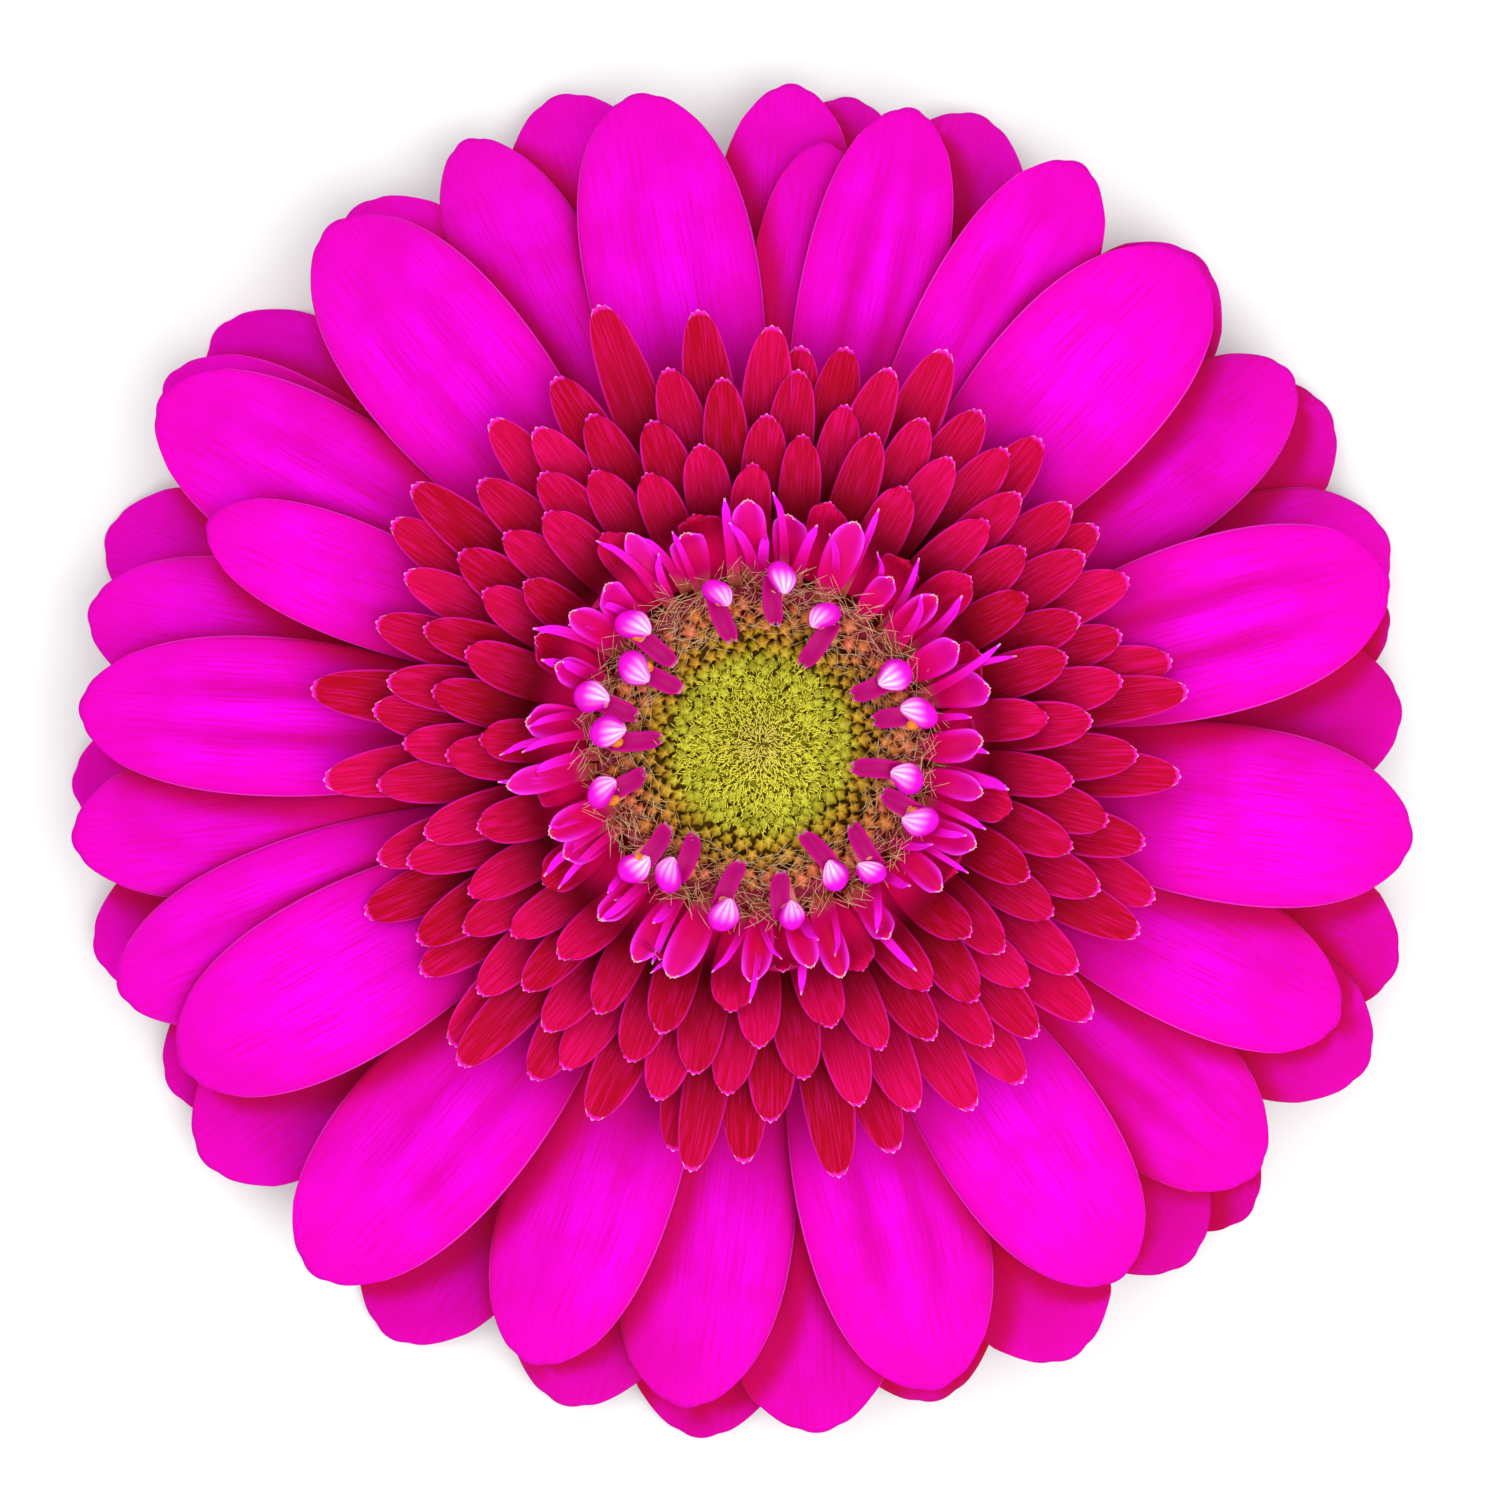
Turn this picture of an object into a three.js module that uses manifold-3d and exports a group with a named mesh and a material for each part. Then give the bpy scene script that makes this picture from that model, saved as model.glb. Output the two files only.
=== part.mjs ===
// A cut gerbera head, lying face up on its stem stub and on the tips of its rearmost ray florets.
// Millimetres, +Z up. The origin is on the surface it lies on, below the middle of its outline.
// Every floret and bract is a leaf cut from a shell of revolution about the flower's own axis, so
// two that lie on different shells never meet, and one shell holds only those that stay side by side.
import * as THREE from "three";
import { mergeVertices } from "three/addons/utils/BufferGeometryUtils.js";
import Module from "manifold-3d";

const wasm = await Module();
wasm.setup();

// ---- Driving dimensions ----
const GAP = 0.3; // clear space left between neighbouring pieces
const HEAD_REACH = 57.6; // axis to the tip of an average ray floret
const ROOT_SINK = 0.7; // how far a floret's root lies inside the rim of what it grows from

const STEM_RADIUS = 3.3;
const STEM_WAIST = 0.94; // radius of the stub's narrow lower part, in stem radii
const STUB_LENGTH = 5;

const FLORET_RING = 5.3; // receptacle's side past the disc's edge: the ring that florets stand on
const CUP_HEIGHT = 9.5; // stub's top to the roots of the lowest ray florets
const CUP_EDGE = 1; // chamfer of the receptacle's top edge

const BRACT_WALL = 0.5;
const BRACT_LEAF_WALL = 0.48; // a little less, so no face of a leaf lies on a face of the cup
const BRACT_CLEAR = 0.4; // clear space between the two rows of bracts
const BRACT_ROOT = 0.8; // stem's side to the inner edge of the cup that a row of bracts makes
const BRACT_JOIN = 9.8; // the bracts of a row are one cup up to this distance from the axis
const BRACT_SPREAD = 3.6; // how far an inner bract's tip stands out past the receptacle
const BRACT_ROOM = 1.7; // how far the inner bracts' tips stay below the lowest ray florets
const BRACT_STAGGER = 0.8; // every other bract is this much shorter
const INNER_BRACTS = 21;
const INNER_BRACT_WIDTH = 2.6; // where it leaves the cup
const OUTER_BRACTS = 13;
const OUTER_BRACT_WIDTH = 3.8;
const OUTER_BRACT_SHORT = 4; // how much less far the outer bracts reach

const RAY_WALL = 0.5;
const RAY_CLEAR = 0.33; // clear space between two layers of ray florets at their roots
const RAY_FAN = 1.9; // rise from one layer of ray florets to the next at their tips
const RAY_DROOP = 1; // how far the tips of the lowest layer would hang below the surface
const RAY_ARCH = 3; // how far a ray floret bows up between root and tip
const RAY_WIDEST = 0.62; // where a ray floret is widest, in floret lengths from its root
const RAY_CLAW = 0.22; // width of its root and of its blunt tip, in widths

const COLLAR_INSET = 1.1; // collars of the crimson florets, in from the receptacle's side
const COLLAR_HEIGHT = 1.6;
const TRANS_WALL = 0.4;
const TRANS_COUNT = 144; // crimson florets, in two crowns
const TRANS_SHORTEST = 4.9; // collar to tip, innermost floret
const TRANS_LONGEST = 21.6; // the same, outermost
const TRANS_RISE = 4.6; // innermost crimson tip above its collar
const TRANS_FALL = 1.45; // how far the outermost tip has sunk from there, in rises
const TRANS_NARROW = 3.4; // width, innermost floret
const TRANS_WIDE = 4.4; // width, outermost floret
const TRANS_WIDEST = 0.6; // where it is widest, in floret lengths from its root
const TRANS_CLAW = 0.25; // width of its root and of its blunt tip, in widths

const LIP_COUNT = 34; // slender inner lips
const LIP_ROOM = 2.5; // disc's edge to the roots of the slender lips
const LIP_LENGTH = 9.5; // how far the longest reaches outwards
const LIP_SPREAD = 4.4; // how much shorter the shortest is
const LIP_RISE = 5.6;
const LIP_WALL = 0.5;
const LIP_PLATE = 0.6; // height of the plate that the lips and the open florets grow from

const DISC_RADIUS = 10.4;
const DISC_WALL = 0.8; // height of the disc's side
const DISC_DOME = 1.2; // middle of the disc above its rim
const BUD_COUNT = 89;
const BUD_HEIGHT = 1.3;
const BUD_SINK = 0.5; // how much of a bud is sunk in the disc
const BUD_SMALL = 0.5; // radius of a bud at the middle
const BUD_LARGE = 0.85; // radius of a bud at the disc's edge
const OPEN_TUBE = 0.62; // radius of an open floret's tube
const OPEN_RISE = 4.9; // an open floret's mouth above its plate
const HOOD_RADIUS = 1.25; // its curled outer lip
const STRAP_LENGTH = 4; // its inner lip, which points back at the middle
const STRAP_WALL = 0.45;

const GOLDEN_ANGLE = Math.PI * (3 - Math.sqrt(5));
const MAGENTA = 0xe60ac8;
const CRIMSON = 0xb00638;

// Ray florets: bearing of the tip in degrees from +X, how far the tip lies past HEAD_REACH, widest
// width, and place in the stack, where a floret with a higher number lies over those with lower
// ones that it crosses.
const RAYS = [
  [3.5, -2, 14.8, 1], [12, -1.7, 12.8, 0], [14.5, -2.9, 14.9, 6], [18.8, -0.3, 14.8, 2],
  [30.8, -0.3, 14.8, 1], [34.5, -2.2, 13, 5], [47.5, -0.9, 15, 2], [49, -2.5, 15.2, 7],
  [61, -1.2, 12.6, 6], [71, 0.2, 14.3, 2], [76.3, -1.8, 11.8, 5], [82.5, -0.8, 12.8, 1],
  [84, -6, 10, 4], [87.5, -0.6, 12.5, 3], [100.5, -1.1, 14.7, 5], [107.5, 1.3, 14.3, 2],
  [115.7, 0.3, 12, 3], [126.5, 0.4, 14.8, 2], [129.8, -0.3, 15, 5], [142, 1.9, 14.3, 0],
  [147.8, 2.4, 12.8, 2], [150.3, 1.4, 14.7, 4], [158.2, -7.6, 9.8, 6], [162, 2.1, 14.3, 1],
  [168.5, 1, 14, 3], [176.5, 0.2, 13.4, 5], [184, 2.1, 13.8, 1], [188.5, 1.6, 13.5, 3],
  [197.3, 2.7, 14.3, 2], [200.5, 0.8, 13.5, 4], [208.8, -1.7, 14.6, 6], [209.5, 1.6, 14.3, 1],
  [216.5, 2.4, 14.8, 2], [230.2, 1.4, 15.4, 5], [238.3, 3.1, 15, 1], [249, -1.3, 13.9, 4],
  [253.5, 2.1, 15, 2], [264, -0.5, 14.8, 3], [264.5, 2.8, 15, 1], [275.5, 1.9, 15, 2],
  [285.2, 1.3, 14.8, 1], [286, -0.6, 15.4, 4], [296.5, 1.4, 14.8, 2], [303.6, -3, 14.5, 5],
  [309.8, 0.7, 14.8, 1], [316.5, 1.4, 13.8, 0], [319.8, -1.7, 14.5, 3], [331.8, 1.7, 14.8, 2],
  [335.2, -3.2, 13.3, 4], [340.2, 0.7, 14.8, 1], [351.7, -1.7, 15, 5],
].map(([bearing, extra, width, rank]) => ({ bearing, reach: HEAD_REACH + extra, width, rank }));

// Crimson florets of the outermost turn that stand longer or shorter than their place in the
// spiral gives them: number, and extra reach.
const EXTRA_REACH = new Map([
  [104, 3], [108, 1.6], [109, 3.2], [110, 2.4], [111, 2.6], [112, 2.9], [115, 1.3], [116, 5],
  [127, 1.4], [129, 1.4], [130, -1.5], [134, 0.7], [138, -1.3], [139, -2.6], [140, 1.6],
  [142, -2.9],
]);

// Open florets: bearing, and how far the mouth stands out from the disc's edge.
const OPEN_FLORETS = [
  [9, 2.2], [28, 1.2], [61, 0.8], [84, 2.8], [108, 2], [137, 3.2], [147, 0.9], [165, 3.2],
  [176, 1.4], [199, 2.5], [223, 3.4], [236, 2], [258, 3.1], [279, 3.4], [299, 1.4], [313, 3],
  [335, 3.4], [346, 1.2],
];

const radians = THREE.MathUtils.degToRad;
const lerp = THREE.MathUtils.lerp;

// ---- Outlines, and the layer that each ray floret lies on ----

const CUP_RADIUS = DISC_RADIUS + FLORET_RING;
const RAY_ROOT_RADIUS = CUP_RADIUS + GAP;
const RAY_LAYER = RAY_WALL + RAY_CLEAR;

// Half the width of a leaf at s from 0 at its root to 1 at its tip: a claw that widens to the
// full width at `widest`, then closes to a blunt tip, like an ellipse at `power` 2 and squarer above.
function leafHalfWidth(s, width, claw, widest, blunt, power = 2.2) {
  if (s < widest) {
    const swell = Math.sin((Math.PI / 2) * (s / widest));
    return (width / 2) * lerp(claw, 1, swell);
  }
  const past = (s - widest) / (1 - widest);
  return (width / 2) * Math.max(blunt, Math.sqrt(Math.max(0, 1 - past ** power)));
}

// The ray florets at the back, which droop, end squarer than those in front.
function rayHalfWidth(ray, s) {
  return leafHalfWidth(s, ray.width, RAY_CLAW, RAY_WIDEST, RAY_CLAW, ray.rank > 2 ? 2.2 : 3);
}

// Angle either side of its bearing that a ray floret covers at a distance from the axis.
function rayHalfAngle(ray, radius) {
  const s = (radius - RAY_ROOT_RADIUS) / (ray.reach - RAY_ROOT_RADIUS);
  return s < 0 || s > 1 ? 0 : Math.asin(Math.min(1, rayHalfWidth(ray, s) / radius));
}

function raysCross(a, b) {
  const turn = Math.abs(((a.bearing - b.bearing + 540) % 360) - 180);
  for (let radius = RAY_ROOT_RADIUS; radius < Math.max(a.reach, b.reach); radius += 1) {
    const covered = rayHalfAngle(a, radius) + rayHalfAngle(b, radius) + GAP / radius;
    if (radians(turn) < covered) return true;
  }
  return false;
}

// Lays each ray floret on the lowest layer that clears those beneath it.
const stack = [];
for (const ray of [...RAYS].sort((a, b) => a.rank - b.rank)) {
  const crossed = stack.filter((other) => raysCross(ray, other)).map((other) => other.layer);
  ray.layer = Math.max(ray.rank, ...crossed.map((layer) => layer + 1));
  stack.push(ray);
}
const rayLayers = Math.max(...RAYS.map((ray) => ray.layer)) + 1;

// ---- Heights that follow from the dimensions ----
const COLLAR_RADIUS = CUP_RADIUS - COLLAR_INSET;
const LIP_ROOT = DISC_RADIUS + LIP_ROOM;
const LOWEST_ROOT = STUB_LENGTH + CUP_HEIGHT;
const CUP_TOP = LOWEST_ROOT + (rayLayers - 0.5) * RAY_LAYER;
const OUTER_COLLAR_BASE = CUP_TOP + GAP;
const INNER_COLLAR_BASE = OUTER_COLLAR_BASE + COLLAR_HEIGHT + GAP;
const LIP_PLATE_BASE = INNER_COLLAR_BASE + COLLAR_HEIGHT + GAP;
const LIP_TOP = LIP_PLATE_BASE + LIP_PLATE;
const DISC_BASE = LIP_TOP + GAP;
const DISC_RIM = DISC_BASE + DISC_WALL;

// ---- Shapes ----

// A closed leaf of even wall: point(s, t) gives its middle surface, and the wall is measured
// along Z. Stations run from root to tip, and lanes from side to side.
function leafGeometry(point, stations, lanes, wall) {
  const columns = lanes.length;
  const positions = [];
  for (const side of [wall / 2, -wall / 2]) {
    for (const s of stations) {
      for (const t of lanes) {
        const [x, y, z] = point(s, t);
        positions.push(x, y, z + side);
      }
    }
  }
  const below = stations.length * columns;
  const index = [];
  const quad = (a, b, c, d) => index.push(a, b, c, a, c, d);
  const lastRow = below - columns;
  for (let i = 0; i < stations.length - 1; i += 1) {
    const row = i * columns;
    const next = row + columns;
    for (let j = 0; j < columns - 1; j += 1) {
      quad(row + j, next + j, next + j + 1, row + j + 1);
      quad(below + row + j, below + row + j + 1, below + next + j + 1, below + next + j);
    }
    const edge = columns - 1;
    quad(below + row, below + next, next, row);
    quad(below + next + edge, below + row + edge, row + edge, next + edge);
  }
  for (let j = 0; j < columns - 1; j += 1) {
    quad(below + j + 1, below + j, j, j + 1);
    quad(below + lastRow + j, below + lastRow + j + 1, lastRow + j + 1, lastRow + j);
  }
  const geometry = new THREE.BufferGeometry();
  geometry.setAttribute("position", new THREE.Float32BufferAttribute(positions, 3));
  geometry.setIndex(index);
  return geometry;
}

function solidOf(geometry) {
  const bare = geometry.clone();
  bare.deleteAttribute("normal");
  bare.deleteAttribute("uv");
  const merged = mergeVertices(bare, 1e-4);
  return new wasm.Manifold(
    new wasm.Mesh({
      numProp: 3,
      vertProperties: merged.getAttribute("position").array,
      triVerts: new Uint32Array(merged.index.array),
    }),
  );
}

function geometryOf(solid) {
  const mesh = solid.getMesh();
  const geometry = new THREE.BufferGeometry();
  geometry.setAttribute("position", new THREE.Float32BufferAttribute(mesh.vertProperties, 3));
  geometry.setIndex(new THREE.BufferAttribute(mesh.triVerts, 1));
  return geometry;
}

// One solid of a collar and the leaves that grow from it.
function crown(collar, leaves) {
  return geometryOf(leaves.reduce((whole, leaf) => whole.add(solidOf(leaf)), solidOf(collar)));
}

// A turned solid from [radius, height] corners, listed from the bottom of the axis upwards.
function turned(corners, segments) {
  const profile = corners.map(([radius, height]) => new THREE.Vector2(radius, height));
  return new THREE.LatheGeometry(profile, segments).rotateX(Math.PI / 2);
}

function plate(radius, base, height) {
  return turned([[0, base], [radius, base], [radius, base + height], [0, base + height]], 26);
}

function turnedTo(geometry, bearing) {
  return geometry.rotateZ(bearing);
}

const group = new THREE.Group();

function addPiece(name, geometry, color, roughness) {
  const material = new THREE.MeshStandardMaterial({ color, roughness, metalness: 0 });
  const mesh = new THREE.Mesh(geometry, material);
  mesh.name = name;
  group.add(mesh);
  return mesh;
}

// ---- Stem stub, receptacle and bracts ----

// Height of the inner bracts' shell at a distance from the axis: a cup that flattens at its rim.
const bractTip = CUP_RADIUS + BRACT_SPREAD;
const bractRise = CUP_HEIGHT - BRACT_ROOM;
function bractShell(radius) {
  const along = Math.min(1, (radius - STEM_RADIUS) / (bractTip - STEM_RADIUS));
  return STUB_LENGTH + bractRise * Math.sin((Math.PI / 2) * along);
}

function stemStub() {
  const neck = STUB_LENGTH - GAP;
  return turned([
    [0, 0], [STEM_RADIUS * STEM_WAIST, 0], [STEM_RADIUS * STEM_WAIST, neck / 2],
    [STEM_RADIUS, neck], [0, neck],
  ], 24);
}

function receptacle() {
  const lift = BRACT_WALL / 2 + GAP;
  const under = [0, 0.22, 0.46, 0.7, 0.88, 1].map((share) => {
    const radius = lerp(STEM_RADIUS, CUP_RADIUS, share);
    return [radius, bractShell(radius) + lift];
  });
  return turned([
    [0, STUB_LENGTH], ...under, [CUP_RADIUS, CUP_TOP - CUP_EDGE],
    [CUP_RADIUS - CUP_EDGE, CUP_TOP], [0, CUP_TOP],
  ], 26);
}

function bractRow(count, drop, reach, width, turn) {
  const inner = STEM_RADIUS + BRACT_ROOT;
  const radii = [inner, (inner + BRACT_JOIN) / 2, BRACT_JOIN];
  const middle = radii.map((r) => [r, bractShell(r) - drop]);
  const above = middle.map(([r, z]) => [r, z + BRACT_WALL / 2]).reverse();
  const below = middle.map(([r, z]) => [r, z - BRACT_WALL / 2]);
  const cup = turned([...below, ...above, below[0]], 26);
  const bracts = Array.from({ length: count }, (_, k) => {
    const leaf = leafGeometry((s, t) => {
      const x = lerp(BRACT_JOIN - ROOT_SINK, reach - (k % 2) * BRACT_STAGGER, s);
      const y = t * lerp(width / 2, width / 10, s ** 1.6);
      return [x, y, bractShell(Math.hypot(x, y)) - drop];
    }, [0, 0.6, 1], [-1, 1], BRACT_LEAF_WALL);
    return turnedTo(leaf, ((k + turn) / count) * 2 * Math.PI);
  });
  return crown(cup, bracts);
}

addPiece("stem_stub", stemStub(), 0x7f9a4a, 0.6);
addPiece("receptacle", receptacle(), 0x93a95a, 0.7);
const innerBracts = bractRow(INNER_BRACTS, 0, bractTip, INNER_BRACT_WIDTH, 0);
addPiece("inner_bracts", innerBracts, 0x6d8f3c, 0.6);
const outerDrop = BRACT_WALL + BRACT_CLEAR;
const outerReach = bractTip - OUTER_BRACT_SHORT;
const outerBracts = bractRow(OUTER_BRACTS, outerDrop, outerReach, OUTER_BRACT_WIDTH, 0.5);
addPiece("outer_bracts", outerBracts, 0x5f8236, 0.6);

// ---- Ray florets ----

// Height of layer n at a distance from the axis: the layers fan out from the receptacle, and a
// floret that would pass through the surface below lies along it.
function rayShell(layer, radius) {
  const u = (radius - RAY_ROOT_RADIUS) / (HEAD_REACH - RAY_ROOT_RADIUS);
  const root = LOWEST_ROOT + layer * RAY_LAYER;
  const tip = layer * RAY_FAN - RAY_DROOP;
  const bowed = lerp(root, tip, u ** 1.5) + RAY_ARCH * Math.sin(Math.PI * Math.min(1, u));
  return Math.max(bowed, RAY_WALL / 2 + layer * RAY_LAYER);
}

RAYS.forEach((ray, number) => {
  const geometry = leafGeometry((s, t) => {
    const x = lerp(RAY_ROOT_RADIUS, ray.reach, s);
    const y = t * rayHalfWidth(ray, s);
    return [x, y, rayShell(ray.layer, Math.hypot(x, y))];
  }, [0, 0.22, 0.44, 0.66, 0.87, 1], [-1, 0, 1], RAY_WALL);
  const label = String(number + 1).padStart(2, "0");
  addPiece(`ray_floret_${label}`, geometry, MAGENTA, 0.55).rotation.z = radians(ray.bearing);
});

// ---- Crimson florets, by the golden angle, from 0 at the innermost ----

function transFloret(k, collarMiddle) {
  const t = k / (TRANS_COUNT - 1);
  const length = lerp(TRANS_SHORTEST, TRANS_LONGEST, t ** 0.75) + (EXTRA_REACH.get(k) ?? 0);
  const reach = COLLAR_RADIUS + length;
  const width = lerp(TRANS_NARROW, TRANS_WIDE, t);
  const root = COLLAR_RADIUS - ROOT_SINK;
  const rise = TRANS_RISE * (1 - TRANS_FALL * t ** 0.8);
  const tipHeight = INNER_COLLAR_BASE + COLLAR_HEIGHT + rise;
  const leaf = leafGeometry((s, lane) => {
    const x = lerp(root, reach, s);
    const y = lane * leafHalfWidth(s, width, TRANS_CLAW, TRANS_WIDEST, TRANS_CLAW);
    const u = (Math.hypot(x, y) - root) / (reach - root);
    return [x, y, lerp(collarMiddle, tipHeight, Math.sin((Math.PI / 2) * Math.min(1, u)))];
  }, [0, 0.35, 0.75, 1], [-1, 1], TRANS_WALL);
  return turnedTo(leaf, k * GOLDEN_ANGLE);
}

function transCrown(first, last, base) {
  const leaves = [];
  for (let k = first; k < last; k += 1) leaves.push(transFloret(k, base + COLLAR_HEIGHT / 2));
  return crown(plate(COLLAR_RADIUS, base, COLLAR_HEIGHT), leaves);
}

const half = Math.round(TRANS_COUNT / 2);
addPiece("trans_florets_outer", transCrown(half, TRANS_COUNT, OUTER_COLLAR_BASE), CRIMSON, 0.6);
addPiece("trans_florets_inner", transCrown(0, half, INNER_COLLAR_BASE), CRIMSON, 0.6);

// ---- Slender inner lips and open florets, on one plate ----

function slenderLip(k) {
  const length = LIP_LENGTH - LIP_SPREAD * (0.5 + 0.5 * Math.sin(k * GOLDEN_ANGLE));
  const leaf = leafGeometry((s, t) => {
    const out = length * s;
    const z = LIP_TOP - LIP_PLATE / 2 + LIP_RISE * Math.sin((Math.PI / 2) * (out / LIP_LENGTH));
    return [LIP_ROOT + out, t * lerp(LIP_WALL, LIP_WALL / 2, s), z];
  }, [0, 0.5, 1], [-1, 1], LIP_WALL);
  return turnedTo(leaf, (k / LIP_COUNT) * 2 * Math.PI);
}

// A straight tapering stalk between two points.
function stalk(from, to, radius, topRadius) {
  const length = from.distanceTo(to);
  const along = to.clone().sub(from).normalize();
  const turn = new THREE.Quaternion().setFromUnitVectors(new THREE.Vector3(0, 1, 0), along);
  return new THREE.CylinderGeometry(topRadius, radius, length, 5)
    .translate(0, length / 2, 0)
    .applyQuaternion(turn)
    .translate(from.x, from.y, from.z);
}

function openFloret([bearing, out]) {
  const mouth = DISC_RADIUS + out;
  const foot = new THREE.Vector3(DISC_RADIUS + GAP + OPEN_TUBE, 0, LIP_TOP - LIP_PLATE / 2);
  const top = new THREE.Vector3(mouth, 0, LIP_TOP + OPEN_RISE);
  const tube = stalk(foot, top, OPEN_TUBE, OPEN_TUBE * 1.3);
  const hood = new THREE.IcosahedronGeometry(HOOD_RADIUS, 0)
    .scale(1.2, 1, 0.8)
    .translate(mouth + HOOD_RADIUS, 0, top.z + HOOD_RADIUS * 0.2);
  const strap = leafGeometry((s, t) => {
    const x = mouth + STRAP_WALL - STRAP_LENGTH * s;
    const z = top.z - STRAP_WALL + 0.6 * Math.sin(Math.PI * s) - 1.4 * s ** 2;
    return [x, t * STRAP_WALL, z];
  }, [1, 0.5, 0], [-1, 1], STRAP_WALL);
  return [tube, hood, strap].map((shape) => turnedTo(shape, radians(bearing)));
}

const lipPlate = plate(LIP_ROOT + ROOT_SINK, LIP_PLATE_BASE, LIP_PLATE);
const lips = Array.from({ length: LIP_COUNT }, (_, k) => slenderLip(k));
addPiece("open_florets", crown(lipPlate, [...lips, ...OPEN_FLORETS.flatMap(openFloret)]), 0xe234d8, 0.5);

// ---- Disc: a low dome set with buds by the golden angle ----

function discHeight(radius) {
  return DISC_RIM + DISC_DOME * (1 - (radius / DISC_RADIUS) ** 2);
}

function disc() {
  const crest = [0.92, 0.6, 0.3, 0].map((share) => share * DISC_RADIUS);
  const dome = turned([
    [0, DISC_BASE], [DISC_RADIUS, DISC_BASE], [DISC_RADIUS, DISC_RIM - DISC_WALL / 2],
    ...crest.map((radius) => [radius, discHeight(radius)]),
  ], 26);
  const spacing = (DISC_RADIUS - BUD_LARGE) / Math.sqrt(BUD_COUNT);
  const buds = Array.from({ length: BUD_COUNT }, (_, k) => {
    const radius = spacing * Math.sqrt(k + 0.5);
    const size = lerp(BUD_SMALL, BUD_LARGE, radius / DISC_RADIUS);
    return turnedTo(
      new THREE.ConeGeometry(size, BUD_HEIGHT + BUD_SINK, 4)
        .rotateX(Math.PI / 2)
        .translate(radius, 0, discHeight(radius) + (BUD_HEIGHT - BUD_SINK) / 2),
      k * GOLDEN_ANGLE,
    );
  });
  return crown(dome, buds);
}

addPiece("disc", disc(), 0xa89a30, 0.8);

// Set the outline's middle over the origin, and the lowest point on the surface.
const outline = new THREE.Box3().setFromObject(group);
const middle = outline.getCenter(new THREE.Vector3());
group.position.set(-middle.x, -middle.y, -outline.min.z);

export default group;
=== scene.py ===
"""A cut gerbera head that lies face up. Broad ray florets lie in layers round crowns of crimson
florets, a ring of open florets stands round a disc of buds, and green bracts hold it all from
below. Lengths here are millimetres until a mesh is made, and a bearing is an angle about the
flower's own axis, turned from +X towards +Y."""
import math
from functools import partial

import bpy
import numpy as np
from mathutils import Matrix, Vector


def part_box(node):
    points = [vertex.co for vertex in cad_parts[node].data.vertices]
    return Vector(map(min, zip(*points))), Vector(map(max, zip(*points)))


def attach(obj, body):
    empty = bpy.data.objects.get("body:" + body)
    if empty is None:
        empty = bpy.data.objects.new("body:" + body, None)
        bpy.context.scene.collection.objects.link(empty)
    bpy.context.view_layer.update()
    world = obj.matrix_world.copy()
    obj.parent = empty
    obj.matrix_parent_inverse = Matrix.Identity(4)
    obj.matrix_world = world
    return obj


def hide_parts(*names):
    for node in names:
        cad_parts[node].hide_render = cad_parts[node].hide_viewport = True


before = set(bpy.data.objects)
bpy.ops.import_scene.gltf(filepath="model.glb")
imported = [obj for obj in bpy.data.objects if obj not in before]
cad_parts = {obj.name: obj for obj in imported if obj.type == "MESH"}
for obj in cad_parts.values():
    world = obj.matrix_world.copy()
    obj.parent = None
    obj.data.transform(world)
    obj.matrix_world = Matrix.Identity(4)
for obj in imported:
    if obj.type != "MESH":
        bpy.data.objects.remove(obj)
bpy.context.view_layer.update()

MM = 0.001
GOLDEN_ANGLE = math.pi * (3 - math.sqrt(5))
rng = np.random.default_rng(7)

stub_low, stub_high = (np.array(corner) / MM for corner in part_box("stem_stub"))
disc_low, disc_high = (np.array(corner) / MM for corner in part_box("disc"))
AXIS = np.array([*(stub_low + stub_high)[:2] / 2, 0.0])
DISC_BASE = disc_low[2]
DISC_RADIUS = (disc_high[0] - disc_low[0]) / 2

# Heights inside the head, down from the disc's base: a lip plate, then two collars.
GAP = 0.3
LIP_PLATE = 0.6
COLLAR_HEIGHT = 1.6
LIP_TOP = DISC_BASE - GAP
INNER_TOP = LIP_TOP - LIP_PLATE - GAP
INNER_MIDDLE = INNER_TOP - COLLAR_HEIGHT / 2
OUTER_MIDDLE = INNER_MIDDLE - COLLAR_HEIGHT - GAP

# The crimson florets, numbered outwards along a golden-angle spiral.
TRANS_COUNT = 144
TRANS_ROOT = 13.4  # axis to root
TRANS_SHORTEST = 19.5  # axis to tip, innermost
TRANS_LONGEST = 36.2  # axis to tip, outermost
TRANS_RISE = 4.6  # innermost tips above the upper collar
TRANS_FALL = 1.45  # share of that rise by which the outermost tips lie lower
# Those that stand longer or shorter than their place in the spiral gives them.
EXTRA_REACH = {
    104: 3, 108: 1.6, 109: 3.2, 110: 2.4, 111: 2.6, 112: 2.9, 115: 1.3, 116: 5, 127: 1.4,
    129: 1.4, 130: -1.5, 134: 0.7, 138: -1.3, 139: -2.6, 140: 1.6, 142: -2.9,
}

# Bearing in degrees of each open floret, and how far its mouth stands out from the disc's edge,
# then the height of the mouths above the lips' plate.
OPEN_FLORETS = [
    (9, 2.2), (28, 1.2), (61, 0.8), (84, 2.8), (108, 2), (137, 3.2), (147, 0.9), (165, 3.2),
    (176, 1.4), (199, 2.5), (223, 3.4), (236, 2), (258, 3.1), (279, 3.4), (299, 1.4), (313, 3),
    (335, 3.4), (346, 1.2),
]
OPEN_RISE = 4.6

# Painted shade under a floret leans this way in plan. Each kind has the width of its soft edge in
# millimetres and the most light that it takes.
SHADE_LEAN = np.array([0.66, -0.75])
CLOSE_SHADE = (2.4, 0.85)
BROAD_SHADE = (8.0, 0.25)
CROWN_SHADE = (30, 40, 0.7)  # under the crimson crown: where it starts to fade and ends, and its most
SAME_LAYER = 0.1  # florets whose roots are less than this apart in height don't shade each other

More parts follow.
